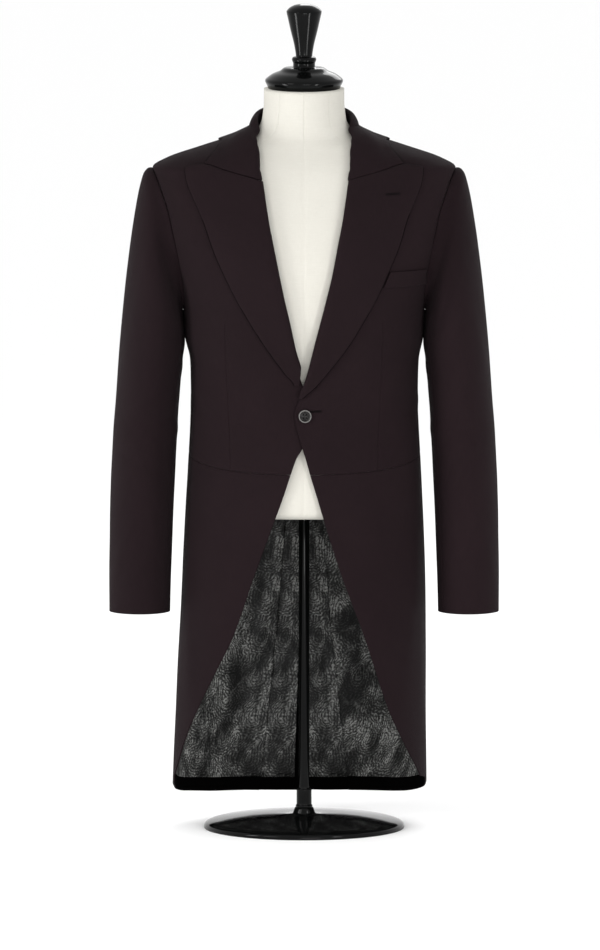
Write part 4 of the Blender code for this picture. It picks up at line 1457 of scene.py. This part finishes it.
@dataclass
class Skirts(Tailoring):
    """Cutaway skirts from the front edge to the pleats under the tails, with their linings."""

    lap: float = 19.0
    hem_band: float = 20.0
    facing: float = 6.67
    rows: int = 116
    columns: int = 74

    def build(self, side: Side) -> None:
        """Builds one skirt and its lining."""
        form = self.form
        band = self.hem_band / (form.waist_z(90) - form.hem_z(90))
        u = eased(self.columns, 0.7)[None, :]
        seam = 0.97 + 0.03 * np.linspace(0, 1, 11)[1:] ** 0.7
        share = np.concatenate([
            np.linspace(0, band, 7)[:-1], np.linspace(band, 0.97, self.rows - 16), seam,
        ])[:, None]

        def pleat(z: Array) -> Array:
            """Turn of the back border."""
            lap = self.lap * rising(form.back_seam_foot, form.back_seam_foot - 45, z)
            return form.turn_at(side, TAIL_X(z) - lap, z, back=True)

        def level(turn: Array) -> Array:
            """Heights of the rows."""
            return between(form.skirt_hem_z(side, turn), form.waist_z(turn), share)

        def whole(z: Array) -> Array:
            """Turn of each column of the skirt."""
            return between(form.edge(side, z), pleat(z), u)

        def faced(z: Array) -> Array:
            """Turn of each column of the lining, inside the facing."""
            return between(form.edge(side, z) + self.facing, pleat(z), u)

        grid = Grid.settled(level, whole, share.size, u.size)
        self.panel("skirt", side, grid, Seamed(False, False, True, False), gap=WIDE_SEAM_GAP)
        laid = Grid.settled(level, faced, share.size, u.size).part(slice(6, -10), slice(None))
        Lining(self.form, self.materials, self.pieces).build("skirt_lining", side, laid, "skirt")


@dataclass
class Lapels(Tailoring):
    """Peak lapels, turned back over the foreparts."""

    foot: tuple[float, float] = (679.0, 659.0)
    turn_start: tuple[float, float] = (699.0, 661.0)
    turn_span: float = 24.0
    top: float = 981.0
    bend: float = 120.0
    gorge_depth: float = 0.7
    gorge_width: float = 1.6
    rows: int = 96
    columns: int = 60

    def build(self, side: Side) -> None:
        """Builds one lapel."""
        which = 0 if side is Side.RIGHT else 1
        height = between(self.foot[which], self.top, eased(self.rows, 0.5))[:, None]
        place = (8 * eased(self.columns, 0.6))[None, :]
        column = columns_at(LAPEL_COLUMNS, place)
        roll, edge = LAPEL[f"{side.value}_roll"](height), LAPEL[f"{side.value}_edge"](height)
        wrap = rising(0, self.turn_span, height - self.turn_start[which])
        rise = rising(self.top - self.bend, self.top, height)
        edge = between(edge, GORGE[-1].x, rise ** 3)
        x = between(roll, edge, column["share"]) + between(column["foot"], column["turned"], wrap)
        z = height + (GORGE_Z(x) - self.top) * rise
        turn = self.form.turn_at(side, x, z)
        lift = between(LAPEL_LIFT, column["lift"], wrap) + CLOTH + 0.25 * rise
        grid = Grid(turn, z, lift)
        if side is Side.LEFT:
            grid.lift = lift + self.form.front_lap(turn, z)
        name = f"lapel_{side.value}"
        outer = Seamed(False, side is Side.LEFT, False, side is Side.RIGHT)
        rows = self.panel_rows(side, grid, CLOTH)
        groove = self._gorge(side, grid)
        # The lapel's outer edge gets a strip of painted shade, standing in for the shadow under it
        sheet = ClothSheet(f"{name}_cloth", rows, CLOTH, outer, groove=groove, shaded_borders=outer)
        self.hang(sheet, name, "worsted", "folded", [f"forepart_{side.value}_cloth"])

    def _gorge(self, side: Side, grid: Grid) -> Array:
        """Depth of the gorge seam along the part of the top edge that meets the collar."""
        x = self.form.body(grid.turn, grid.z)[..., 0]
        below = grid.z[-1:] - grid.z
        sewn = self.gorge_depth * bell(below, self.gorge_width)
        groove = sewn * rising(150, 146, x) * (0.15 + 0.85 * rising(104, 122, x))
        return groove[:, ::-1] if side is Side.RIGHT else groove


@dataclass
class Collar(Tailoring):
    """Collar in one piece: its stand in the neck, turned over into the fall."""

    stations: int = 70
    columns: int = 54
    gorge_clear: float = 0.9
    left_out: float = 2.6

    def build(self) -> None:
        """Builds the collar from the left gorge round to the right one."""
        step = np.linspace(0, COLLAR_STATIONS[-1].step, self.stations)[:, None]
        at = columns_at(COLLAR_STATIONS, step)
        stand, roll = np.linspace(0, 2, 8)[:-1], np.linspace(2, 5, 20)[:-1]
        place = np.concatenate([stand, roll, 5 + 3 * np.linspace(0, 1, 28) ** 0.85])[None, :]
        row, end = columns_at(COLLAR_ROWS, place), columns_at(COLLAR_END, place)
        turn = at["neck_turn"] + (at["roll_turn"] - at["neck_turn"]) * row["stand"]
        turn = turn + (at["edge_turn"] - at["roll_turn"]) * row["fall"]
        z = at["neck_z"] + (at["roll_z"] - at["neck_z"]) * row["stand"]
        z = z + (at["edge_z"] - at["roll_z"]) * row["fall"]
        lift = row["lift"] + at["bulge"] * np.sin(np.pi * np.minimum(row["fall"] * 1.3, 1.0))
        end_z = GORGE_Z(end["x"]) + self.gorge_clear
        end_turn = self.form.turn_at(Side.LEFT, end["x"], end_z)
        blend = np.linspace(0, 1, 7)[:-1, None] ** 1.4
        turn = np.concatenate([between(end_turn, turn[:1], blend), turn])
        z = np.concatenate([between(end_z, z[:1], blend), z])
        lift = np.concatenate([between(end["lift"], lift[:1], blend), lift])
        left, right = self.form.skin(turn, z, lift), self.form.skin(-turn, z, lift)
        left[..., 0] += self.left_out * rising(1046, 1012, z) * (1 - row["fall"])
        rows = np.concatenate([left, right[-2::-1]])
        # The collar's fall edge gets a strip of painted shade, standing in for the shadow under it
        fall_edge = Seamed(False, True, False, False)
        sewn = Seamed(True, True, True, False)
        sheet = ClothSheet("collar_cloth", rows, COLLAR_CLOTH, sewn, shaded_borders=fall_edge)
        self.hang(sheet, "collar", "worsted", "folded", ["bust", "back_left_cloth", "back_right_cloth"])


@dataclass
class Sleeves(Tailoring):
    """Two-piece sleeves: the top sleeve outside, the under sleeve against the body."""

    fore_seam: float = 145.0
    clear: float = 0.6
    start: tuple[float, float] = (-1.0, 3.4)
    rows: int = 132
    top_columns: int = 96
    under_columns: int = 48
    arc: float = 0.95

    def build(self, side: Side) -> None:
        """Builds one sleeve's two pieces."""
        back = self.form.back_seam_turn
        spans = {
            "top_sleeve": (back, self.fore_seam + 360, self.top_columns),
            "under_sleeve": (self.fore_seam, back, self.under_columns),
        }
        for name, (first, last, columns) in spans.items():
            around = between(first, last, eased(columns, 0.75))
            rows = self._rows(around)
            if side is Side.RIGHT:
                rows = rows[:, ::-1] * np.array([-1.0, 1.0, 1.0])
            node = f"{name}_{side.value}"
            sewn = Seamed(True, True, False, True)
            sheet = ClothSheet(f"{node}_cloth", rows, CLOTH, sewn, gap=WIDE_SEAM_GAP, dip=0.5)
            shoulder = [f"forepart_{side.value}_cloth", f"back_{side.value}_cloth"]
            self.hang(sheet, node, "worsted", "hung", shoulder)

    def _rows(self, around: Array) -> Array:
        """Points of the left sleeve's inner face, from the armhole to the cuff."""
        form = self.form
        wrapped = around % 360
        depth, z = form.armhole(wrapped)
        x = form.body(form.turn_at_depth(depth, z), z)[..., 0]
        away = unit(np.stack([np.zeros_like(depth), depth, z - form.armhole_z], axis=-1))
        seat = np.stack([x, depth, z], axis=-1) - away * (CLOTH + self.clear)
        rings = [seat + np.array([step, 0, 0]) for step in self.start]
        level, out = np.cos(np.radians(around))[:, None], np.sin(np.radians(around))[:, None]
        for ring in SLEEVE_RINGS:
            outer = np.array([ring.outer_x, 0, ring.outer_z])
            inner = np.array([ring.inner_x, 0, ring.inner_z])
            middle = (outer + inner) / 2 + np.array([0, (ring.back - ring.front) / 2, 0])
            half = (outer - inner) / 2
            half = half * (1 - CLOTH / np.linalg.norm(half))
            forward = np.array([0, CLOTH - (ring.front + ring.back) / 2, 0])
            rings.append(middle + half * level + forward * out)
        rings = np.array(rings)
        steps = np.linalg.norm(np.diff(rings.mean(axis=1), axis=0), axis=-1)
        way = np.concatenate([[0], np.cumsum(np.maximum(steps, 4.0))])
        rows = Curve(way, rings)(between(0.0, way[-1], np.linspace(0, 1, self.rows) ** 1.15))
        normals = unit(np.cross(np.gradient(rows, axis=1), np.gradient(rows, axis=0)))
        fade = rising(0, 0.1, np.linspace(0, 1, self.rows))[:, None]
        height = self._relief(wrapped[None, :], rows[..., 2]) * fade
        return rows + normals * height[..., None]

    def _relief(self, around: Array, z: Array) -> Array:
        """Creases at elbow and forearm, and slight unevenness."""
        uneven = 0.3 * np.sin(0.05 * around + 0.017 * z) * np.sin(0.027 * z + 0.6)
        return creased(SLEEVE_CREASES, around, z, self.arc) + uneven


@dataclass
class BreastWelt(Tailoring):
    """Welt of the breast pocket, from the lapel's edge towards the armhole."""

    outer_x: float = 181.0
    top_z: float = 848.0
    foot_z: float = 824.0
    lift: float = 1.0
    seam_depth: float = 0.9
    seam_width: float = 1.4

    def build(self) -> None:
        """Builds the welt, on the wearer's left."""
        z = np.linspace(self.foot_z, self.top_z, 26)[:, None]
        start = LAPEL["left_edge"](z) + 2.2
        x = between(start, self.outer_x, np.linspace(0, 1, 60)[None, :])
        z = np.broadcast_to(z, x.shape)
        grid = Grid(self.form.turn_at(Side.LEFT, x, z), z, np.full(x.shape, self.lift + CLOTH))
        rows = self.panel_rows(Side.LEFT, grid, CLOTH)
        foot, end = bell(z - self.foot_z, self.seam_width), bell(self.outer_x - x, self.seam_width)
        groove = np.minimum(self.seam_depth * foot + self.seam_depth * end, self.seam_depth)
        sheet = ClothSheet("breast_welt_cloth", rows, CLOTH, groove=groove)
        self.hang(sheet, "breast_welt", "worsted", "laid", ["forepart_left_cloth"])


class Buttonhole(NamedTuple):
    """Worked buttonhole: reach and height of its middle, length, climb over it, lift of the cloth's face."""

    name: str
    x: float
    z: float
    length: float
    slope: float
    lift: float


BUTTONHOLES = (
    Buttonhole("lapel_buttonhole", 131.0, 962.0, 20.0, 1.0, 6.3),
    Buttonhole("front_buttonhole", 17.0, 640.0, 17.0, 0.8, LAP_LIFT),
)


@dataclass
class StitchWork(Tailoring):
    """Sewn stitches: worked buttonholes and the threads of the buttons."""

    tree: bpy.types.NodeTree | None = None
    hole_rows_apart: float = 0.85
    hole_stitches: int = 26
    hole_stitch: float = 1.9
    hole_thread: float = 0.26

    def _nodes(self) -> bpy.types.NodeTree:
        """Geometry Nodes tree that lays a stitch at each point of a mesh, along its own aim."""
        if self.tree is not None:
            return self.tree
        tree = bpy.data.node_groups.new("Stitches", "GeometryNodeTree")
        for name, kind, way in (
            ("Geometry", "NodeSocketGeometry", "INPUT"),
            ("Length", "NodeSocketFloat", "INPUT"),
            ("Radius", "NodeSocketFloat", "INPUT"),
            ("Thread", "NodeSocketMaterial", "INPUT"),
            ("Geometry", "NodeSocketGeometry", "OUTPUT"),
        ):
            tree.interface.new_socket(name, in_out=way, socket_type=kind)
        new, link = tree.nodes.new, tree.links.new
        entry, leave = new("NodeGroupInput"), new("NodeGroupOutput")
        ball, scale = new("GeometryNodeMeshUVSphere"), new("GeometryNodeTransform")
        lay = new("GeometryNodeInstanceOnPoints")
        size, aim = new("ShaderNodeCombineXYZ"), new("GeometryNodeInputNamedAttribute")
        real, dress = new("GeometryNodeRealizeInstances"), new("GeometryNodeSetMaterial")
        ball.inputs["Segments"].default_value = 8
        ball.inputs["Rings"].default_value = 6
        ball.inputs["Radius"].default_value = 1.0
        aim.data_type = "FLOAT_VECTOR"
        aim.inputs["Name"].default_value = "aim"
        for axis, socket in (("X", "Length"), ("Y", "Radius"), ("Z", "Radius")):
            link(entry.outputs[socket], size.inputs[axis])
        link(size.outputs[0], scale.inputs["Scale"])
        link(ball.outputs["Mesh"], scale.inputs["Geometry"])
        link(entry.outputs["Geometry"], lay.inputs["Points"])
        link(scale.outputs[0], lay.inputs["Instance"])
        link(aim.outputs["Attribute"], lay.inputs["Rotation"])
        link(lay.outputs[0], real.inputs[0])
        link(real.outputs[0], dress.inputs["Geometry"])
        link(entry.outputs["Thread"], dress.inputs["Material"])
        link(dress.outputs[0], leave.inputs[0])
        self.tree = tree
        return tree

    def sew(
        self, name: str, points: Array, along: Array, out: Array, length: float, radius: float
    ) -> bpy.types.Object:
        """Sews a run of stitches.

        Args:
            name: Name of the piece.
            points: Middle of each stitch, in millimetres.
            along: Direction of each stitch.
            out: Outward direction of the cloth at each stitch.
            length: Length of a stitch.
            radius: Radius of the thread.

        Returns:
            The piece.
        """
        tree = self._nodes()
        mesh = bpy.data.meshes.new(name)
        mesh.from_pydata((points * MM).tolist(), [], [])
        aims = []
        for run, up in zip(unit(along), unit(out)):
            side = Vector(up).cross(Vector(run)).normalized()
            axes = Matrix((Vector(run), side, Vector(run).cross(side)))
            aims.extend(axes.transposed().to_euler())
        mesh.attributes.new("aim", "FLOAT_VECTOR", "POINT").data.foreach_set("vector", aims)
        run = linked(f"{name}_run", mesh)
        work = run.modifiers.new("Stitches", "NODES")
        work.node_group = tree
        values = {"Length": length / 2 * MM, "Radius": radius * MM, "Thread": self.materials["thread"]}
        for item in tree.interface.items_tree:
            if item.in_out == "INPUT" and item.name in values:
                work[item.identifier] = values[item.name]
        sewn = worked(run)
        bpy.data.objects.remove(run)
        sewn.name = name
        sewn.shade_smooth()
        return placed(name, sewn, self.materials["thread"])

    def buttonhole(self, hole: Buttonhole) -> None:
        """Works a buttonhole on the wearer's left front, in a row of stitches above it and one below."""
        t = np.linspace(-0.5, 0.5, self.hole_stitches)
        x = np.concatenate([hole.x + t * hole.length] * 2)
        middle = hole.z + t * hole.slope
        z = np.concatenate([middle + self.hole_rows_apart, middle - self.hole_rows_apart])
        turn = self.form.turn_at(Side.LEFT, x, z)
        points = self.form.skin(turn, z, np.full(x.shape, hole.lift + 0.1))
        out = self.form.skin(turn, z, np.full(x.shape, hole.lift + 2.0)) - points
        up = self.form.skin(turn, z + 1.0, np.full(x.shape, hole.lift + 0.1)) - points
        self.sew(hole.name, points, up, out, self.hole_stitch, self.hole_thread)


@dataclass
class Seat:
    """Where a button is sewn: its middle, and its own side, up and outward directions."""

    middle: Array
    ways: Array

    def world(self, points: Array) -> Array:
        """Points of a button that lies flat, brought to its place."""
        return self.middle + points @ self.ways


@dataclass
class Buttons(Tailoring):
    """Turned horn buttons with a rim and four holes, sewn on with thread."""

    steps: int = 72
    hole: float = 1.2
    hole_reach: float = 2.3
    hole_steps: int = 16
    drill_top: float = 5.0
    drill_foot: float = -2.0
    sharp_angle: float = 50.0
    thread: float = 0.42
    thread_z: tuple[float, float] = (2.35, 2.1)
    thread_past: float = 1.2
    clear: float = 0.5
    front: tuple[float, float] = (1.5, 633.0)
    waist: tuple[float, float] = (38.0, 596.0)

    def build(self, stitches: StitchWork) -> None:
        """Builds the front button and the two at the back waist."""
        turn = float(self.form.turn_at(Side.LEFT, *self.front))
        self._button("front_button", turn, self.front[1], stitches)
        for side in Side:
            turn = side.sign * float(self.form.turn_at(side, *self.waist, back=True))
            self._button(f"waist_button_{side.value}", turn, self.waist[1], stitches)

    def _button(self, node: str, turn: float, z: float, stitches: StitchWork) -> None:
        """Builds one button and its thread."""
        seat = self._seat(np.array(turn), np.array(z))
        points, faces = turned_shape(BUTTON_PROFILE, self.steps)
        blank = mesh_of(f"{node}_horn", seat.world(points) * MM, faces, points[:, :2] * MM)
        piece = placed(f"{node}_horn", self._drilled(blank, seat), self.materials["horn"])
        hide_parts(node)
        ways = (self.hole_reach, -self.hole_reach)
        spots = np.array([[0, reach, level] for level in self.thread_z for reach in ways])
        along, out = (np.repeat(seat.ways[i][None, :], len(spots), axis=0) for i in (0, 2))
        length = 2 * self.hole_reach + self.thread_past
        stitches.sew(f"{node}_thread", seat.world(spots), along, out, length, self.thread)

    def _seat(self, turn: Array, z: Array) -> Seat:
        """Place of a button on the lapped cloth."""
        out = unit(self.form.skin(turn, z, LAP_LIFT + 1.0, False) - self.form.skin(turn, z, LAP_LIFT, False))
        side = unit(np.cross(np.array([0.0, 0.0, 1.0]), out))
        middle = self.form.skin(turn, z, LAP_LIFT + self.clear, False)
        return Seat(middle, np.stack([side, np.cross(out, side), out]))

    def _drilled(self, mesh: bpy.types.Mesh, seat: Seat) -> bpy.types.Mesh:
        """The button with its four holes drilled through, in a square round its middle."""
        top, foot = self.drill_top, self.drill_foot
        ends = ((0.0, top), (self.hole, top), (self.hole, foot), (0.0, foot))
        points, faces = turned_shape(ends, self.hole_steps)
        count = len(points)
        spots = [(a * self.hole_reach, b * self.hole_reach, 0.0) for a in (-1, 1) for b in (-1, 1)]
        bits = np.concatenate([points + spot for spot in spots])
        cuts = [[corner + n * count for corner in face] for n in range(len(spots)) for face in faces]
        blank, drill = linked("blank", mesh), linked("drill", mesh_of("drill", seat.world(bits) * MM, cuts))
        cut = blank.modifiers.new("holes", "BOOLEAN")
        cut.operation, cut.solver, cut.object = "DIFFERENCE", "EXACT", drill
        drilled = worked(blank)
        for item in (blank, drill):
            bpy.data.objects.remove(item)
        drilled.set_sharp_from_angle(angle=np.radians(self.sharp_angle))
        return drilled


def turned_shape(profile: Sequence[tuple[float, float]], steps: int) -> tuple[Array, list]:
    """Points and faces of a profile turned round the Z axis.

    Args:
        profile: Radius and height from the middle of the top to the middle of the underside.
        steps: Number of steps round.

    Returns:
        Points in millimetres, and the faces.
    """
    angle = np.linspace(0, 2 * np.pi, steps, endpoint=False)
    inner = profile[1:-1]
    rings = [np.stack([r * np.cos(angle), r * np.sin(angle), np.full(steps, h)], axis=1) for r, h in inner]
    points = np.concatenate([[[0, 0, profile[0][1]]], *rings, [[0, 0, profile[-1][1]]]])
    last = len(points) - 1
    faces: list = []
    for i in range(steps):
        j = (i + 1) % steps
        faces.append([0, 1 + i, 1 + j])
        for k in range(len(inner) - 1):
            a, b = 1 + k * steps, 1 + (k + 1) * steps
            faces.append([a + i, b + i, b + j, a + j])
        end = 1 + (len(inner) - 1) * steps
        faces.append([last, end + j, end + i])
    return points, faces


def smoothed(profile: Sequence[Turning]) -> list[tuple[float, float]]:
    """Profile with points added on a smooth curve between its own."""
    points = np.array(profile, float)
    steps = np.linalg.norm(np.diff(points, axis=0), axis=1)
    return [tuple(row) for row in refined(points, steps)]


@dataclass
class DressForm(Tailoring):
    """Limbless bust that the coat rests on, with its turned neck cap, pole and foot."""

    clear: float = 6.0
    rest_clear: float = 0.9
    seam_depth: float = 0.55
    seam_width: float = 0.38
    seams: tuple[float, ...] = (-180.0, -146.0, -90.0, -38.0, 0.0, 38.0, 90.0, 146.0)

    def build(self) -> None:
        """Builds the bust and dresses its stand."""
        bust = placed("bust_cover", self._bust(), self.materials["linen"])
        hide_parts("bust")
        for node, profile in (("neck_cap", CAP_PROFILE), ("pole", POLE_PROFILE), ("foot", FOOT_PROFILE)):
            points, faces = turned_shape(smoothed(profile), 96)
            slot = "lacquered_wood" if node == "neck_cap" else "lacquered_steel"
            mesh = mesh_of(node, points * MM, faces)
            piece = placed(f"{node}_turned", mesh, self.materials["lacquer"])
            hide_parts(node)

    def _turns(self) -> Array:
        """Turns of the columns, closer together at the seams."""
        near = np.array([-0.9, -0.5, -0.25, 0.0, 0.25, 0.5, 0.9])
        even = np.linspace(-180, 180, 120, endpoint=False)
        dense = np.concatenate([seam + near for seam in self.seams])
        dense = np.where(dense < -180, dense + 360, dense)
        even = even[np.min(np.abs(even[:, None] - dense[None, :]), axis=1) > 0.7]
        return np.unique(np.round(np.concatenate([even, dense]), 4))

    def _bust(self) -> bpy.types.Mesh:
        """Rings inside the coat, then the neck, with seams drawn in a little."""
        turns = self._turns()
        ridge = bell(np.abs(turns) - 90, 26)
        rings = []
        for row in BUST_ROWS:
            slope = rising(985, 1006, row.z) * rising(1052, 1042, row.z)
            clear = between(self.clear, self.rest_clear, ridge * slope)
            z = np.full(turns.shape, float(row.z))
            ring = self.form.skin(turns, z, -CLOTH - row.tuck - clear, False)
            if row.tuck:
                ring[:, 2] = row.z
            rings.append(ring)
        for row in NECK_ROWS:
            reach = np.where(np.abs(turns) < 90, row.front, row.back)
            x, y = row.half * np.sin(np.radians(turns)), -reach * np.cos(np.radians(turns))
            rings.append(np.stack([x, y, np.full(turns.shape, float(row.z))], axis=1))
        rings = np.array(rings)
        steps = np.linalg.norm(np.diff(rings, axis=0), axis=-1).mean(axis=1)
        rings = refined(rings, steps)
        apart = np.min([np.abs((turns - seam + 180) % 360 - 180) for seam in self.seams], axis=0)
        level, centre = rings[..., 2].mean(axis=1), np.zeros(len(rings))
        middle = np.stack([centre, centre, level], axis=1)[:, None]
        sewn = self.seam_depth * bell(apart, self.seam_width)
        rings = rings - unit(rings - middle) * sewn[None, :, None]
        high, wide = rings.shape[:2]
        at = np.arange(high * wide).reshape(high, wide)
        over = np.roll(at, -1, axis=1)
        sides = np.stack([at[:-1], over[:-1], over[1:], at[1:]], axis=-1).reshape(-1, 4)
        faces = [list(face) for face in sides] + [list(at[0][::-1]), list(at[-1])]
        return mesh_of("bust_cover", rings.reshape(-1, 3) * MM, faces)


class Lamp(NamedTuple):
    """Soft lamp, in metres and watts: place, width, height, power, and the height that it is aimed at."""

    name: str
    place: tuple[float, float, float]
    wide: float
    high: float
    power: float
    aim: float


LAMPS = (
    Lamp("key", (-3.0, -3.4, 2.6), 1.4, 2.0, 46.0, 0.75),
    Lamp("strip_left", (-1.15, -0.62, 0.66), 0.26, 0.9, 9.5, 1.15),
    Lamp("strip_right", (0.86, -1.1, 0.66), 0.20, 0.9, 7.0, 1.15),
    Lamp("low", (0.4, -3.2, 0.25), 1.2, 0.5, 16.0, 0.3),
    Lamp("rear", (0.8, 3.4, 2.6), 2.0, 1.4, 30.0, 0.7),
)


@dataclass
class Studio:
    """Pale floor, soft light and the camera at the photograph's viewing angle, in metres."""

    distance: float = 40.0
    elevation: float = 7.0
    frame_height: float = 1.42
    target: tuple[float, float, float] = (-0.0061, 0.0, 0.5307)
    sensor: float = 36.0
    sight: float = 400.0
    floor_radius: float = 90.0
    floor_tone: float = 0.93
    surround: float = 1.07

    def build(self) -> None:
        """Builds the studio."""
        bpy.context.scene.view_settings.view_transform = "Standard"
        self._floor()
        self._world()
        for lamp in LAMPS:
            self._light(lamp)
        self._camera()

    def _floor(self) -> None:
        """Round pale floor."""
        reach = self.floor_radius * 1000
        points, faces = turned_shape(((0, 0), (reach, 0), (reach, -50), (0, -50)), 96)
        material = bpy.data.materials.new("pale_floor")
        material.use_nodes = True
        shader = material.node_tree.nodes["Principled BSDF"]
        shader.inputs["Base Color"].default_value = (self.floor_tone, self.floor_tone, self.floor_tone, 1)
        shader.inputs["Roughness"].default_value = 0.9
        shader.inputs["Specular IOR Level"].default_value = 0.1
        mesh = mesh_of("floor", points * MM, faces)
        mesh.materials.append(material)
        linked("floor", mesh)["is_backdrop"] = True

    def _world(self) -> None:
        """Even pale surround."""
        world = bpy.data.worlds.new("studio")
        bpy.context.scene.world = world
        world.use_nodes = True
        backdrop = world.node_tree.nodes["Background"]
        backdrop.inputs[0].default_value = (1.0, 1.0, 1.0, 1)
        backdrop.inputs[1].default_value = self.surround

    def _light(self, lamp: Lamp) -> None:
        """Soft lamp aimed at the coat."""
        light = bpy.data.lights.new(lamp.name, "AREA")
        light.shape = "RECTANGLE"
        light.size, light.size_y, light.energy = lamp.wide, lamp.high, lamp.power
        item = linked(lamp.name, light)
        item.location = lamp.place
        item.rotation_mode = "QUATERNION"
        item.rotation_quaternion = (Vector((0, 0, lamp.aim)) - Vector(lamp.place)).to_track_quat("-Z", "Y")

    def _camera(self) -> None:
        """Long lens in front, a little above."""
        camera = bpy.data.cameras.new("camera")
        camera.sensor_width = self.sensor
        camera.lens = self.sensor * self.distance / self.frame_height
        camera.clip_end = self.sight
        item = linked("camera", camera)
        rise = np.radians(self.elevation)
        look = Vector((0, np.cos(rise), -np.sin(rise)))
        item.location = Vector(self.target) - look * self.distance
        item.rotation_mode = "QUATERNION"
        item.rotation_quaternion = look.to_track_quat("-Z", "Y")
        bpy.context.scene.camera = item


def corners(box: tuple[Vector, Vector]) -> list[list[float]]:
    """A box as plain lists of numbers."""
    return [[float(value) for value in corner] for corner in box]


def main() -> None:
    """Dresses the frame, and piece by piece."""
    logging.basicConfig(level=logging.INFO, format="%(message)s")
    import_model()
    cad_box = corners(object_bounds())
    materials = {key: finish.material() for key, finish in FINISHES.items()}
    shared = (CoatForm(), materials, {})
    DressForm(*shared).build()
    for side in Side:
        Foreparts(*shared).build(side)
        SideBodies(*shared).build(side)
        Backs(*shared).build(side)
        Skirts(*shared).build(side)
        Lapels(*shared).build(side)
        Sleeves(*shared).build(side)
    Collar(*shared).build()
    BreastWelt(*shared).build()
    stitches = StitchWork(*shared)
    Buttons(*shared).build(stitches)
    for hole in BUTTONHOLES:
        stitches.buttonhole(hole)
    Studio().build()
    {"cad": cad_box, "visual": corners(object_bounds())}


if __name__ == "__main__":
    main()
